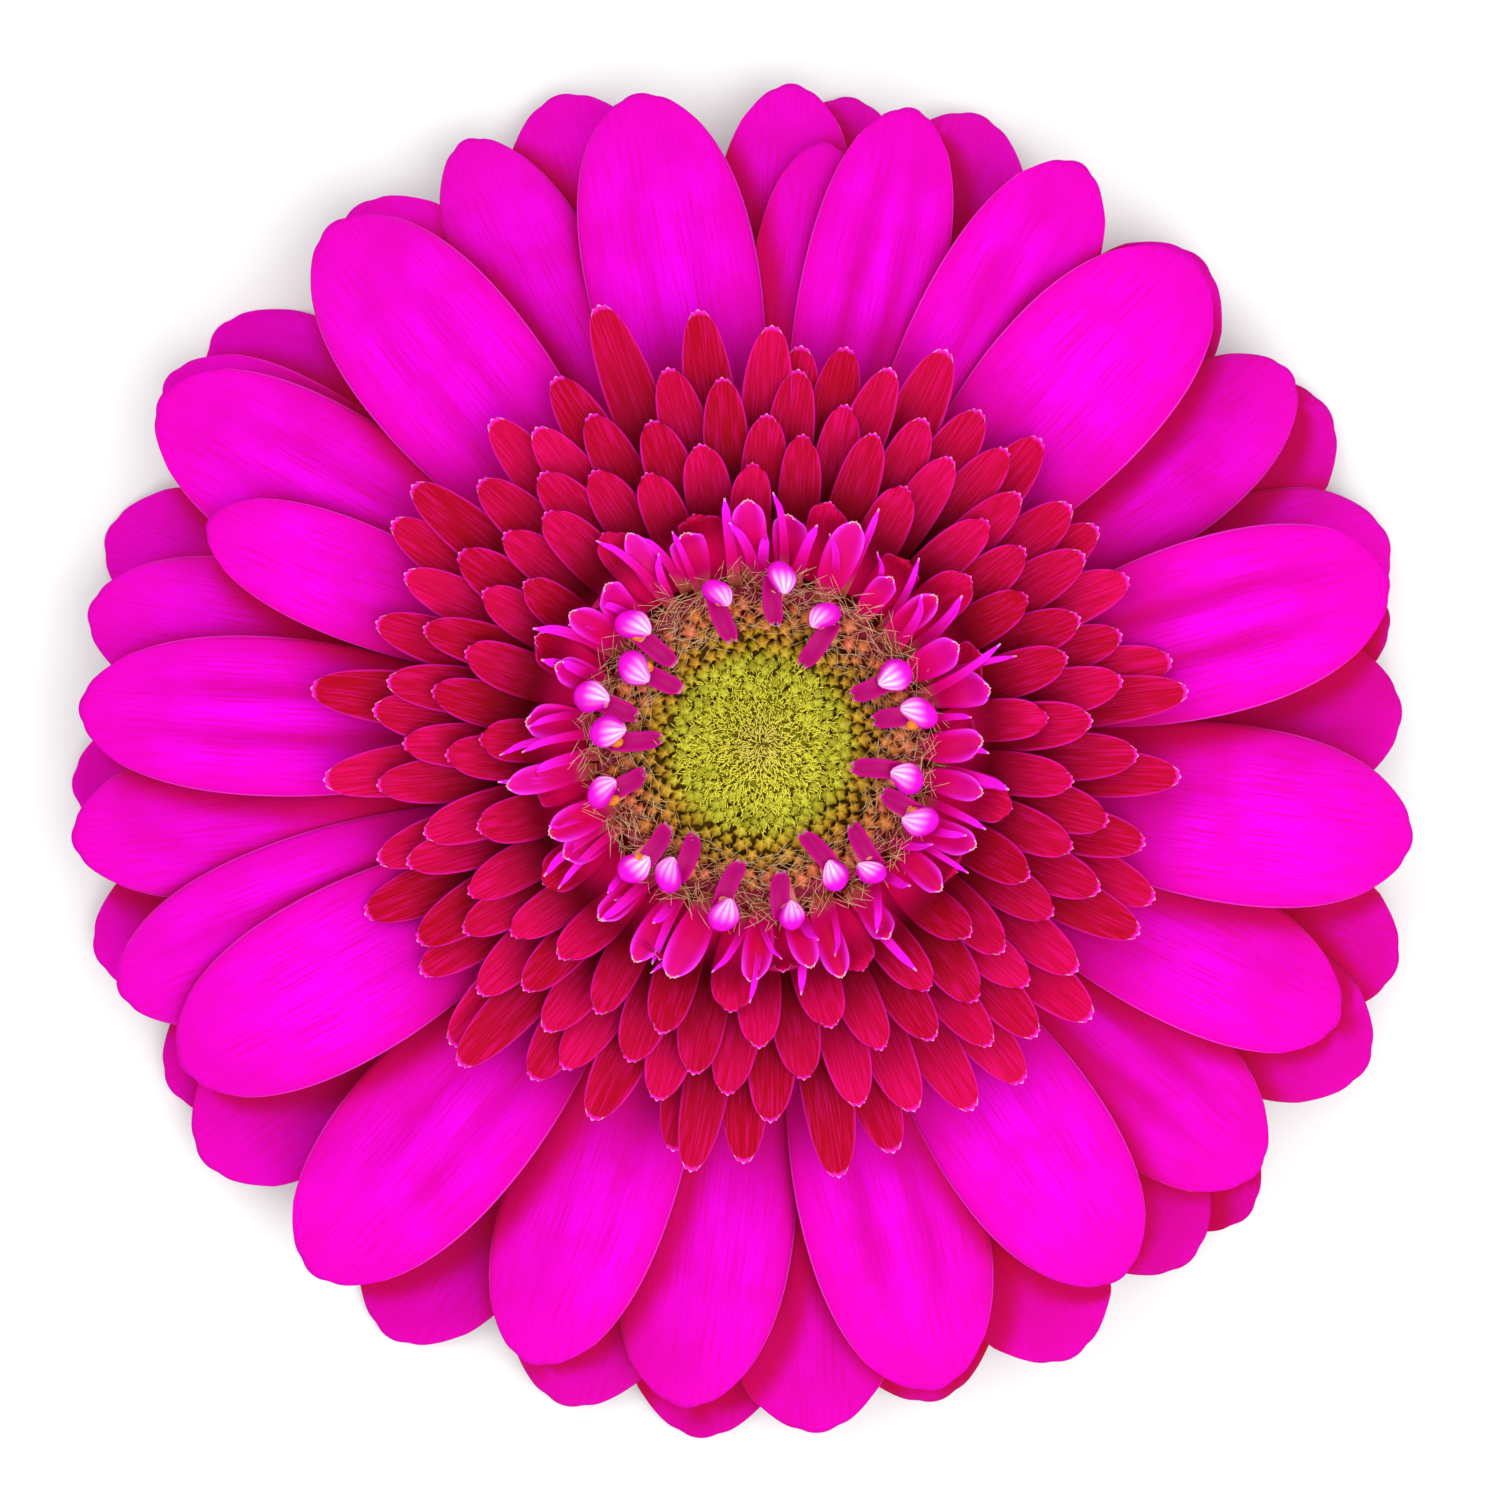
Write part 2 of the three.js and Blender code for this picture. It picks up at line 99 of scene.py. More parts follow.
ROUND_SIDES = 48  # of plates and the disc's dome
SLANT = [0.3, 0.2, 1.0]  # a direction that no tube's path runs in


# ---- Arrays and meshes ----


def ease(value, start, end):
    """0 before start, 1 after end, and a smooth cubic step between them."""
    part = np.clip((value - start) / (end - start), 0, 1)
    return part * part * (3 - 2 * part)


def turned(points, bearing):
    """The points turned by a bearing in radians about the flower's axis, and set on that axis."""
    c, s = math.cos(bearing), math.sin(bearing)
    spin = np.array([[c, -s, 0], [s, c, 0], [0, 0, 1]])
    return points @ spin.T + AXIS


def grid_quads(rows, columns, wrap=False):
    """The quads of a grid of rows by columns vertices, closed round its columns when it wraps."""
    row = np.arange(rows - 1)[:, None] * columns
    column = np.arange(columns if wrap else columns - 1)[None, :]
    after = (column + 1) % columns
    corners = [row + column, row + columns + column, row + columns + after, row + after]
    return np.stack(corners, axis=-1).reshape(-1, 4)


def leaf(points, wall, **marks):
    """A closed thin shell on a grid of points: each point goes half a wall up and down the grid's
    normal, falling to three tenths of that at the sides and the tip by high powers of the way to
    them, and a strip of quads joins the two skins round that rim. Marks are values on the grid
    that the materials read; 'top' is 1 on the upper skin and 0 below."""
    rows, columns = points.shape[:2]
    normal = np.cross(np.gradient(points, axis=0), np.gradient(points, axis=1))
    normal /= np.maximum(np.linalg.norm(normal, axis=-1, keepdims=True), 1e-9)
    t = np.linspace(-1, 1, columns)[None, :, None]
    s = np.linspace(0, 1, rows)[:, None, None]
    half = wall / 2 * (1 - 0.7 * np.maximum(t**6, s**10))
    skins = np.concatenate([points + normal * half, points - normal * half]).reshape(-1, 3)
    count = rows * columns
    quads = grid_quads(rows, columns)
    index = np.arange(count).reshape(rows, columns)
    rim = np.concatenate([index[:-1, 0], index[-1, :-1], index[:0:-1, -1], index[0, :0:-1]])
    after = np.roll(rim, -1)
    strip = np.stack([rim, rim + count, after + count, after], axis=-1)
    faces = np.concatenate([quads, quads[:, ::-1] + count, strip])
    shape = (rows, columns)
    values = {name: np.tile(np.broadcast_to(v, shape).ravel(), 2) for name, v in marks.items()}
    values["top"] = np.repeat([1.0, 0.0], count)
    return skins, faces, values


def lathe(profile, sides, squeeze=1.0, **marks):
    """A profile of (radius, height) pairs turned about Z into a closed skin, whose first and last
    pairs lie on the axis. Squeeze scales the radius of each side, or of each row and side."""
    angle = np.linspace(0, 2 * math.pi, sides, endpoint=False)
    radius, height = np.array(profile, float).T
    x = radius[:, None] * np.cos(angle) * squeeze
    y = radius[:, None] * np.sin(angle) * squeeze
    z = np.broadcast_to(height[:, None], x.shape)
    points = np.stack([x, y, z], axis=-1).reshape(-1, 3)
    values = {name: np.broadcast_to(v, x.shape).ravel() for name, v in marks.items()}
    return points, grid_quads(len(profile), sides, wrap=True)[:, ::-1], values


def tube(path, radius, sides, **marks):
    """A round section carried along a path of points, its radius given at each point and its two
    ends closed by shrinking to a point. The section stays square to the path, and 'rise' goes
    from 0 at the path's start to 1 at its end."""
    path = np.concatenate([path[:1], path, path[-1:]])
    radius = np.concatenate([[0.0], radius, [0.0]])
    forward = np.gradient(path, axis=0)
    forward /= np.maximum(np.linalg.norm(forward, axis=1, keepdims=True), 1e-9)
    side = np.cross(forward, SLANT)
    side /= np.maximum(np.linalg.norm(side, axis=1, keepdims=True), 1e-9)
    up = np.cross(side, forward)
    angle = np.linspace(0, 2 * math.pi, sides, endpoint=False)[None, :, None]
    ring = np.cos(angle) * side[:, None] + np.sin(angle) * up[:, None]
    points = (path[:, None] + ring * radius[:, None, None]).reshape(-1, 3)
    rise = np.linspace(0, 1, len(path))[:, None]
    shape = (len(path), sides)
    values = {name: np.broadcast_to(v, shape).ravel() for name, v in marks.items()}
    values["rise"] = np.broadcast_to(rise, shape).ravel()
    return points, grid_quads(*shape, wrap=True), values


def piece(name, shapes, material, nodes=()):
    """One object made of shapes (points, quads, marks) in the flower's frame. Each mark becomes a
    value on the mesh's points, and the object stands for the CAD nodes that it replaces."""
    offsets = np.cumsum([0] + [len(points) for points, _, _ in shapes])
    points = np.concatenate([points for points, _, _ in shapes])
    faces = np.concatenate([quads + start for (_, quads, _), start in zip(shapes, offsets)])
    mesh = bpy.data.meshes.new(name)
    mesh.vertices.add(len(points))
    mesh.vertices.foreach_set("co", (points * MM).astype(np.float32).ravel())
    mesh.loops.add(faces.size)
    mesh.loops.foreach_set("vertex_index", faces.astype(np.int32).ravel())
    mesh.polygons.add(len(faces))
    mesh.polygons.foreach_set("loop_start", np.arange(0, faces.size, 4, dtype=np.int32))
    mesh.polygons.foreach_set("use_smooth", np.ones(len(faces), bool))
    mesh.update(calc_edges=True)
    for mark in shapes[0][2]:
        values = np.concatenate([marks[mark] for _, _, marks in shapes]).astype(np.float32)
        mesh.attributes.new(mark, "FLOAT", "POINT").data.foreach_set("value", values)
    mesh.validate()
    mesh.materials.append(material)
    obj = bpy.data.objects.new(name, mesh)
    bpy.context.scene.collection.objects.link(obj)
    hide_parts(*nodes)
    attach(obj, "root")
    return obj


# ---- Materials ----

SMOOTH = {"interpolation_type": "SMOOTHSTEP"}
COLOURS = {"data_type": "RGBA"}


def linear(hex_code):
    """An sRGB hex colour as linear red, green, blue and alpha."""
    parts = [int(hex_code[i : i + 2], 16) / 255 for i in (0, 2, 4)]
    return (*[p / 12.92 if p <= 0.04045 else ((p + 0.055) / 1.055) ** 2.4 for p in parts], 1)


def add(tree, kind, settings=None, out=0, **inputs):
    """Adds a node. Settings set its properties. Each input, named with underscores for spaces or
    numbered after 'in', is joined to a socket or set to a number or a hex colour. Gives back the
    output asked for."""
    node = tree.nodes.new("ShaderNode" + kind)
    for key, value in (settings or {}).items():
        setattr(node, key, value)
    for key, value in inputs.items():
        number = key[2:]
        socket = node.inputs[int(number) if number.isdigit() else key.replace("_", " ")]
        if isinstance(value, bpy.types.NodeSocket):
            tree.links.new(value, socket)
        else:
            socket.default_value = linear(value) if isinstance(value, str) else value
    return node.outputs[out] if node.outputs else node


def blank(name):
    """An empty material, and the call that adds nodes to it."""
    material = bpy.data.materials.new(name)
    material.use_nodes = True
    material.node_tree.nodes.clear()
    return material, partial(add, material.node_tree)


def ray_petal():
    """Ray floret: a film of pigmented cells over white sponge, as it grew. It gives a saturated
    magenta without gloss, redder at the rim, with painted shade in the furrows and painted shade
    where other florets lie over it, with hair-fine veins along the floret and a duller back."""
    material, node = blank("ray_petal_magenta")
    along = node("Attribute", {"attribute_name": "along"}, out="Fac")
    across = node("Attribute", {"attribute_name": "across_mm"}, out="Fac")
    edge = node("Attribute", {"attribute_name": "edge"}, out="Fac")
    furrow = node("Attribute", {"attribute_name": "furrow"}, out="Fac")
    shade = node("Attribute", {"attribute_name": "shade"}, out="Fac")
    top = node("Attribute", {"attribute_name": "top"}, out="Fac")
    place = node("TexCoord", out="Object")

    # Veins 0.17 mm apart and about 7 mm long, and soft blotches 6 mm across.
    length = node("Math", {"operation": "MULTIPLY"}, in0=along, in1=1.1)
    lanes = node("CombineXYZ", X=across, Y=length)
    veins = node("TexNoise", out="Fac", Vector=lanes, Scale=1 / 0.17, Detail=3.0)
    blotch = node("TexNoise", out="Fac", Vector=place, Scale=1 / (6 * MM), Detail=3.0)

    beside = node("Math", {"operation": "ABSOLUTE"}, in0=edge)
    side = node("Math", {"operation": "POWER"}, in0=beside, in1=2.6)
    tip = node("MapRange", SMOOTH, in0=along, in1=0.6, in2=1.05, in4=0.8)
    outer = node("Math", {"operation": "MAXIMUM"}, in0=side, in1=tip)
    tinted = node("Mix", COLOURS, out=2, in0=outer, in6="ee02ee", in7="de02a6")
    patch = node("MapRange", SMOOTH, in0=blotch, in1=0.4, in2=0.72, in4=0.6)
    patched = node("Mix", COLOURS, out=2, in0=patch, in6=tinted, in7="d802ac")
    streak = node("MapRange", SMOOTH, in0=veins, in1=0.44, in2=0.68, in4=0.85)
    streaked = node("Mix", COLOURS, out=2, in0=streak, in6=patched, in7="dc02a6")
    # Painted shade: darker red along the furrows, more where the furrows are deeper.
    furrow_shaded = node("Mix", COLOURS, out=2, in0=furrow, in6=streaked, in7="c00270")
    thin = node("MapRange", SMOOTH, in0=beside, in1=0.975, in2=0.995, in4=0.7)
    hemmed = node("Mix", COLOURS, out=2, in0=thin, in6=furrow_shaded, in7="fa3ce0")
    # Painted shade: redder and darker where other florets and the crimson crown lie over it.
    shaded = node("Mix", COLOURS, out=2, in0=shade, in6=hemmed, in7="b00430")
    skin = node("Mix", COLOURS, out=2, in0=top, in6="c8329a", in7=shaded)
    relief = node("Bump", Height=veins, Distance=0.05 * MM)
    surface = node("BsdfPrincipled", Base_Color=skin, Normal=relief, Roughness=0.65, IOR=1.4,
                   Specular_IOR_Level=0.03, Subsurface_Weight=0.1,
                   Subsurface_Radius=(1.0, 0.02, 0.7), Subsurface_Scale=1.2 * MM)
    node("OutputMaterial", Surface=surface)
    return material


def trans_petal():
    """Crimson floret: the same tissue with more red pigment. It gives deep crimson straps, with
    painted shade that makes them nearly black-red at the foot where they lie under one another, dark
    veins and a painted pink sheen between them towards the tip, a thread-thin pink hem, and white
    points on the tip's teeth. Next to the open florets the crimson turns pink."""
    material, node = blank("trans_petal_crimson")
    along = node("Attribute", {"attribute_name": "along"}, out="Fac")
    across = node("Attribute", {"attribute_name": "across_mm"}, out="Fac")
    edge = node("Attribute", {"attribute_name": "edge"}, out="Fac")
    tooth = node("Attribute", {"attribute_name": "tooth"}, out="Fac")
    far = node("Attribute", {"attribute_name": "far"}, out="Fac")
    tone = node("Attribute", {"attribute_name": "tone"}, out="Fac")
    top = node("Attribute", {"attribute_name": "top"}, out="Fac")

    # Veins 0.16 mm apart that run a fifth of the floret.
    length = node("Math", {"operation": "MULTIPLY"}, in0=along, in1=0.8)
    lanes = node("CombineXYZ", X=across, Y=length)
    veins = node("TexNoise", out="Fac", Vector=lanes, Scale=1 / 0.16, Detail=3.0)

    lit = node("Mix", COLOURS, out=2, in0=tone, in6="ac0222", in7="ce034c")
    # Painted shade: the strap darkens to nearly black-red towards its foot, under the florets over
    # it.
    foot = node("MapRange", SMOOTH, in0=along, in1=0.34, in2=0.98)
    strap = node("Mix", COLOURS, out=2, in0=foot, in6="580103", in7=lit)
    streak = node("MapRange", SMOOTH, in0=veins, in1=0.45, in2=0.75, in4=0.42)
    streaked = node("Mix", COLOURS, out=2, in0=streak, in6=strap, in7="8c010c")
    # Painted sheen: pink between the veins, stronger towards the tip.
    between = node("MapRange", SMOOTH, in0=veins, in1=0.52, in2=0.36, in4=0.28)
    painted_sheen = node("Math", {"operation": "MULTIPLY"}, in0=between, in1=foot)
    with_painted_sheen = node("Mix", COLOURS, out=2, in0=painted_sheen, in6=streaked, in7="f20c96")
    pink = node("MapRange", SMOOTH, in0=far, in1=15.5, in2=19.5)
    inner = node("Mix", COLOURS, out=2, in0=pink, in6="f8086c", in7=with_painted_sheen)
    beside = node("Math", {"operation": "ABSOLUTE"}, in0=edge)
    rim = node("MapRange", SMOOTH, in0=beside, in1=0.9, in2=0.99, in4=0.6)
    past = node("MapRange", SMOOTH, in0=along, in1=0.978, in2=0.992)
    hem = node("Math", {"operation": "MAXIMUM"}, in0=rim, in1=past)
    upper = node("MapRange", SMOOTH, in0=along, in1=0.45, in2=0.92, in4=0.85)
    line = node("Math", {"operation": "MULTIPLY"}, in0=hem, in1=upper)
    hemmed = node("Mix", COLOURS, out=2, in0=line, in6=inner, in7="ee1cc0")
    toothed = node("Mix", COLOURS, out=2, in0=tooth, in6=hemmed, in7="ffe4fa")
    skin = node("Mix", COLOURS, out=2, in0=top, in6="a00c50", in7=toothed)
    relief = node("Bump", Height=veins, Distance=0.05 * MM)
    surface = node("BsdfPrincipled", Base_Color=skin, Normal=relief, Roughness=0.6, IOR=1.4,
                   Specular_IOR_Level=0.05, Subsurface_Weight=0.1,
                   Subsurface_Radius=(1.0, 0.02, 0.4), Subsurface_Scale=1.0 * MM)
    node("OutputMaterial", Surface=surface)
    return material


def lip_petal():
    """Lips of the small florets: thin, smooth and a little waxy. It gives a tan foot, then magenta
    with crimson down the broad lips and ruby in the inner straps, and white streaks and teeth."""
    material, node = blank("lip_petal_magenta")
    along = node("Attribute", {"attribute_name": "along"}, out="Fac")
    pale = node("Attribute", {"attribute_name": "pale"}, out="Fac")
    ruby = node("Attribute", {"attribute_name": "ruby"}, out="Fac")
    red = node("Attribute", {"attribute_name": "red"}, out="Fac")
    low = node("MapRange", SMOOTH, in0=along, in1=0.0, in2=0.3)
    foot = node("Mix", COLOURS, out=2, in0=low, in6="dc7854", in7="dc0478")
    high = node("MapRange", SMOOTH, in0=along, in1=0.3, in2=0.9)
    strap = node("Mix", COLOURS, out=2, in0=high, in6=foot, in7="ea10de")
    warm = node("Mix", COLOURS, out=2, in0=red, in6=strap, in7="cc0240")
    deep = node("Mix", COLOURS, out=2, in0=ruby, in6=warm, in7="a40062")
    skin = node("Mix", COLOURS, out=2, in0=pale, in6=deep, in7="fff2fb")
    surface = node("BsdfPrincipled", Base_Color=skin, Roughness=0.4, IOR=1.4,
                   Specular_IOR_Level=0.1, Subsurface_Weight=0.12,
                   Subsurface_Radius=(1.0, 0.2, 0.8), Subsurface_Scale=0.8 * MM)
    node("OutputMaterial", Surface=surface)
    return material


def disc_bud():
    """Closed buds, matt and slightly downy: it gives olive lime, then gold, then an orange pink at
    the disc's edge, each bud darkened at its foot by painted shade between the buds. Its hairs are
    too fine to show, so they are drawn as tufts 0.2 mm across."""
    material, node = blank("disc_bud_downy")
    out = node("Attribute", {"attribute_name": "out"}, out="Fac")
    rise = node("Attribute", {"attribute_name": "rise"}, out="Fac")
    tint = node("Attribute", {"attribute_name": "tint"}, out="Fac")
    place = node("TexCoord", out="Object")
    down = node("TexNoise", out="Fac", Vector=place, Scale=1 / (0.2 * MM), Detail=3.0)
    green = node("Mix", COLOURS, out=2, in0=tint, in6="aca428", in7="d2d240")
    gold = node("Mix", COLOURS, out=2, in0=tint, in6="bc942a", in7="e4ae3c")
    dusky = node("Mix", COLOURS, out=2, in0=tint, in6="d88a42", in7="f48868")
    first = node("MapRange", SMOOTH, in0=out, in1=0.56, in2=0.76)
    middle = node("Mix", COLOURS, out=2, in0=first, in6=green, in7=gold)
    second = node("MapRange", SMOOTH, in0=out, in1=0.78, in2=0.92)
    outer = node("Mix", COLOURS, out=2, in0=second, in6=middle, in7=dusky)
    # Painted shade: each bud darkens towards its foot, in the gaps between the buds.
    crest = node("MapRange", SMOOTH, in0=rise, in1=0.1, in2=0.85)
    deep = node("Mix", COLOURS, out=2, in0=second, in6="7c5614", in7="72160c")
    skin = node("Mix", COLOURS, out=2, in0=crest, in6=deep, in7=outer)
    relief = node("Bump", Height=down, Distance=0.14 * MM)
    surface = node("BsdfPrincipled", Base_Color=skin, Normal=relief, Roughness=0.75, IOR=1.4,
                   Specular_IOR_Level=0.12)
    node("OutputMaterial", Surface=surface)
    return material


def fine_bristle():
    """Dry hairs: it gives a bright straw yellow in the middle of the disc, and tan between the
    open florets, paler towards each tip."""
    material, node = blank("bristle_straw")
    out = node("Attribute", {"attribute_name": "out"}, out="Fac")
    rise = node("Attribute", {"attribute_name": "rise"}, out="Fac")
    root = node("Mix", COLOURS, out=2, in0=out, in6="dcd02e", in7="d49a58")
    crest = node("Mix", COLOURS, out=2, in0=out, in6="fcf45c", in7="f8dcb0")
    skin = node("Mix", COLOURS, out=2, in0=rise, in6=root, in7=crest)
    surface = node("BsdfPrincipled", Base_Color=skin, Roughness=0.6, IOR=1.5,
                   Specular_IOR_Level=0.2)
    node("OutputMaterial", Surface=surface)
    return material


def anther():
    """Anther columns: waxy and dusted with pollen, which gives a mottled orange. The grains are
    too fine to show, so they are drawn as clumps 0.4 mm across."""
    material, node = blank("anther_orange")
    place = node("TexCoord", out="Object")
    dust = node("TexNoise", out="Fac", Vector=place, Scale=1 / (0.4 * MM))
    skin = node("Mix", COLOURS, out=2, in0=dust, in6="f09a20", in7="c04a10")
    surface = node("BsdfPrincipled", Base_Color=skin, Roughness=0.5, IOR=1.4)
    node("OutputMaterial", Surface=surface)
    return material


def green_bract():
    """Downy bracts: it gives a soft green in patches 2 mm across, with a paler midrib, a felted
    bloom at grazing angles and a red-brown tip. The felt is drawn as tufts 0.3 mm across."""
    material, node = blank("bract_downy_green")
    along = node("Attribute", {"attribute_name": "along"}, out="Fac")
    edge = node("Attribute", {"attribute_name": "edge"}, out="Fac")
    place = node("TexCoord", out="Object")
    patch = node("TexNoise", out="Fac", Vector=place, Scale=1 / (2 * MM))
    down = node("TexNoise", out="Fac", Vector=place, Scale=1 / (0.3 * MM), Detail=3.0)
    leafy = node("Mix", COLOURS, out=2, in0=patch, in6="54762f", in7="7b9a4c")
    beside = node("Math", {"operation": "ABSOLUTE"}, in0=edge)
    rib = node("MapRange", SMOOTH, in0=beside, in1=0.22, in2=0.05, in4=0.6)
    ribbed = node("Mix", COLOURS, out=2, in0=rib, in6=leafy, in7="a9bd78")
    tip = node("MapRange", SMOOTH, in0=along, in1=0.82, in2=1.0)
    skin = node("Mix", COLOURS, out=2, in0=tip, in6=ribbed, in7="7a3f3a")
    relief = node("Bump", Height=down, Distance=0.15 * MM)
    surface = node("BsdfPrincipled", Base_Color=skin, Normal=relief, Roughness=0.7, IOR=1.4,
                   Specular_IOR_Level=0.2, Sheen_Weight=0.3)
    node("OutputMaterial", Surface=surface)
    return material


def green_stem():
    """Fleshy scape with a felt of short hairs: it gives a pale matt green in patches 1.5 mm
    across, and pale wet pith where it is cut. The felt is drawn as tufts 0.25 mm across."""
    material, node = blank("stem_downy_green")
    pith = node("Attribute", {"attribute_name": "pith"}, out="Fac")
    place = node("TexCoord", out="Object")
    patch = node("TexNoise", out="Fac", Vector=place, Scale=1 / (1.5 * MM))
    down = node("TexNoise", out="Fac", Vector=place, Scale=1 / (0.25 * MM), Detail=3.0)
    skin = node("Mix", COLOURS, out=2, in0=patch, in6="6f8f42", in7="90aa5c")
    cut = node("Mix", COLOURS, out=2, in0=pith, in6=skin, in7="cfd79a")
    relief = node("Bump", Height=down, Distance=0.12 * MM)
    surface = node("BsdfPrincipled", Base_Color=cut, Normal=relief, Roughness=0.6, IOR=1.4,
                   Specular_IOR_Level=0.3, Sheen_Weight=0.3)
    node("OutputMaterial", Surface=surface)
    return material


def green_receptacle():
    """Receptacle: firm flesh with knobs 0.4 mm across, which gives a matt mid green, and above
    the green the wine red of the bases that crowd on it."""
    material, node = blank("receptacle_green")
    place = node("TexCoord", out="Object")
    patch = node("TexNoise", out="Fac", Vector=place, Scale=1 / (1.5 * MM))
    knobs = node("TexNoise", out="Fac", Vector=place, Scale=1 / (0.4 * MM), Detail=3.0)
    flesh = node("Mix", COLOURS, out=2, in0=patch, in6="6d8a42", in7="8ea65c")
    height = node("SeparateXYZ", out="Z", Vector=place)
    bases = node("MapRange", SMOOTH, in0=height, in1=13 * MM, in2=15 * MM)
    skin = node("Mix", COLOURS, out=2, in0=bases, in6=flesh, in7="8c0a34")
    relief = node("Bump", Height=knobs, Distance=0.2 * MM)
    surface = node("BsdfPrincipled", Base_Color=skin, Normal=relief, Roughness=0.7, IOR=1.4)
    node("OutputMaterial", Surface=surface)
    return material


def white_card():
    """The floor's matt white card, a shade uneven over 300 mm."""
    material, node = blank("floor_white_card")
    place = node("TexCoord", out="Object")
    patch = node("TexNoise", out="Fac", Vector=place, Scale=1 / (300 * MM))
    skin = node("Mix", COLOURS, out=2, in0=patch, in6="f6f6f6", in7="f9f9f9")
    surface = node("BsdfPrincipled", Base_Color=skin, Roughness=0.9)
    node("OutputMaterial", Surface=surface)
    return material


# ---- Ray florets ----

RAY_ROWS, RAY_COLUMNS = 60, 33
RAY_WALL = 0.32
RAY_WIDEST = 0.62  # where along its length a ray floret is widest
RAY_CLAW = 0.24  # width at the root, as a share of the widest
RAY_SINK = 0.3  # how far a crowned leaf is set down, to stay about the CAD leaf
RAY_LOWEST = 0.25  # middle surface above the floor, where a tip lies on it
TIP_BOW = 0.09  # how far the tip's corners fall back from its point, in floret lengths
FURROW_AT = 0.3  # share of the half width at which its two furrows run


def read_ray(node):
    """A CAD ray floret's bearing, root and reach, its greatest half width, the power of the curve
    that closes its tip, and its middle height as a fourth-power polynomial outwards. The leaf is
    symmetric about its bearing, so the mean of its corners lies on it."""
    on_middle, at_station = 0.2, 0.3  # how near a corner lies to count as one of them
    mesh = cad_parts[node].data
    corners = np.empty(len(mesh.vertices) * 3, np.float32)
    mesh.vertices.foreach_get("co", corners)
    corners = np.unique(np.round(corners.reshape(-1, 3) / MM, 2), axis=0) - AXIS
    mean = corners.mean(axis=0)
    bearing = math.atan2(mean[1], mean[0])
    out = np.array([math.cos(bearing), math.sin(bearing)])
    along = corners[:, :2] @ out
    across = np.abs(corners[:, :2] @ np.array([-out[1], out[0]]))
    middle = across < on_middle
    order = np.argsort(along[middle])
    stations = along[middle][order].reshape(-1, 2).mean(axis=1)
    heights = corners[middle][order][:, 2].reshape(-1, 2).mean(axis=1)
    widest = across.max()
    near_tip = across[np.abs(along - stations[-2]) < at_station].max() / widest
    share = (stations[-2] - stations[0]) / (stations[-1] - stations[0])
    past = (share - RAY_WIDEST) / (1 - RAY_WIDEST)
    return {
        "bearing": bearing,
        "root": stations[0],
        "reach": stations[-1],
        "half": widest,
        "power": math.log(1 - near_tip**2) / math.log(past),
        "height": np.polyfit(stations, heights, 4),
        "lift": heights[0],
    }


def ray_half(ray, u):
    """Half width at u from 0 at the root to 1 at the tip: it swells from a claw as a quarter sine
    to the full width, then closes as the square root of 1 less a power of the way to the tip."""
    claw = RAY_CLAW + (1 - RAY_CLAW) * np.sin(np.pi / 2 * np.clip(u / RAY_WIDEST, 0, 1))
    past = np.clip((u - RAY_WIDEST) / (1 - RAY_WIDEST), 0, 1)
    return ray["half"] * np.where(u < RAY_WIDEST, claw, np.sqrt(1 - past ** ray["power"]))


def covering(points, rays, lift, spread, most):
    """How far each point is shaded by the ray florets above it, from 0 to 1. A floret takes `most`
    of the light inside its outline, moved by half the spread the way its shade leans, and less
    by a smooth step over the spread past that."""
    light = np.ones(points.shape[:2])
    shaded = points[..., :2] - 0.5 * spread * SHADE_LEAN
    for ray in rays:
        if ray["lift"] <= lift + SAME_LAYER:
            continue
        out = np.array([math.cos(ray["bearing"]), math.sin(ray["bearing"])])
        along = shaded @ out
        across = shaded @ np.array([-out[1], out[0]])
        u = (along - ray["root"]) / (ray["reach"] - ray["root"])
        beside = np.abs(across) - ray_half(ray, np.clip(u, 0, 1))
        beyond = np.maximum(along - ray["reach"], 0)
        clear = np.hypot(np.maximum(beside, 0), beyond)
        light *= 1 - most * (1 - ease(clear, 0.0, spread)) * (along > 0)
    return 1 - light


def ray_points(ray):
    """The middle surface of a ray floret, and how deep its furrows are, which sets the painted shade
    along them. Rows bow back towards the tip's corners, with two fine notches at the tip. The height
    follows the CAD leaf, with a low crown, two furrows between three ridges, and eleven fine ribs as
    a cosine. The sides roll up or down and ripple, and the whole leaf sways, twists and lifts its tip
    a little."""
    rolled, twisted, lifted, sway, phase, deep, aside = rng.uniform(-1, 1, 7)
    s = np.linspace(0, 1, RAY_ROWS)[:, None]
    t = np.linspace(-1, 1, RAY_COLUMNS)[None, :]
    edge_u = s * (1 - TIP_BOW * s**4)
    notch = 0.004 * np.exp(-(((np.abs(t) - FURROW_AT) / 0.12) ** 2)) * s**24
    u = s * (1 - TIP_BOW * s**4 * t**2) - notch
    x = ray["root"] + (ray["reach"] - ray["root"]) * u
    half = ray_half(ray, edge_u)
    depth = 0.5 + 0.5 * deep
    middle = ease(s, 0.1, 0.35) * (1 - ease(s, 0.6, 1.0))
    furrow = np.exp(-(((np.abs(t + 0.06 * aside) - FURROW_AT) / 0.16) ** 2)) * middle
    ridges = (0.12 + 0.3 * depth) * furrow
    ribs = 0.025 * np.cos(11 * np.pi * t) * ease(s, 0.1, 0.4)
    crown = 0.5 * (1 - t**2) * ease(s, 0.1, 0.5)
    roll = rolled * 0.8 * t**4 * ease(s, 0.15, 0.7)
    twist = twisted * 0.05 * t * half * s
    lift = lifted * 0.9 * s**5
    ripple = 0.2 * np.sin(2 * np.pi * (1.7 * s + phase)) * t**2
    z = np.polyval(ray["height"], x) - ridges + ribs + crown + roll + twist + lift + ripple
    y = t * half + sway * 0.7 * s**2
    points = np.stack([x, y, np.maximum(z - RAY_SINK, RAY_LOWEST)], axis=-1)
    return points, s, t, half, furrow * depth**1.5


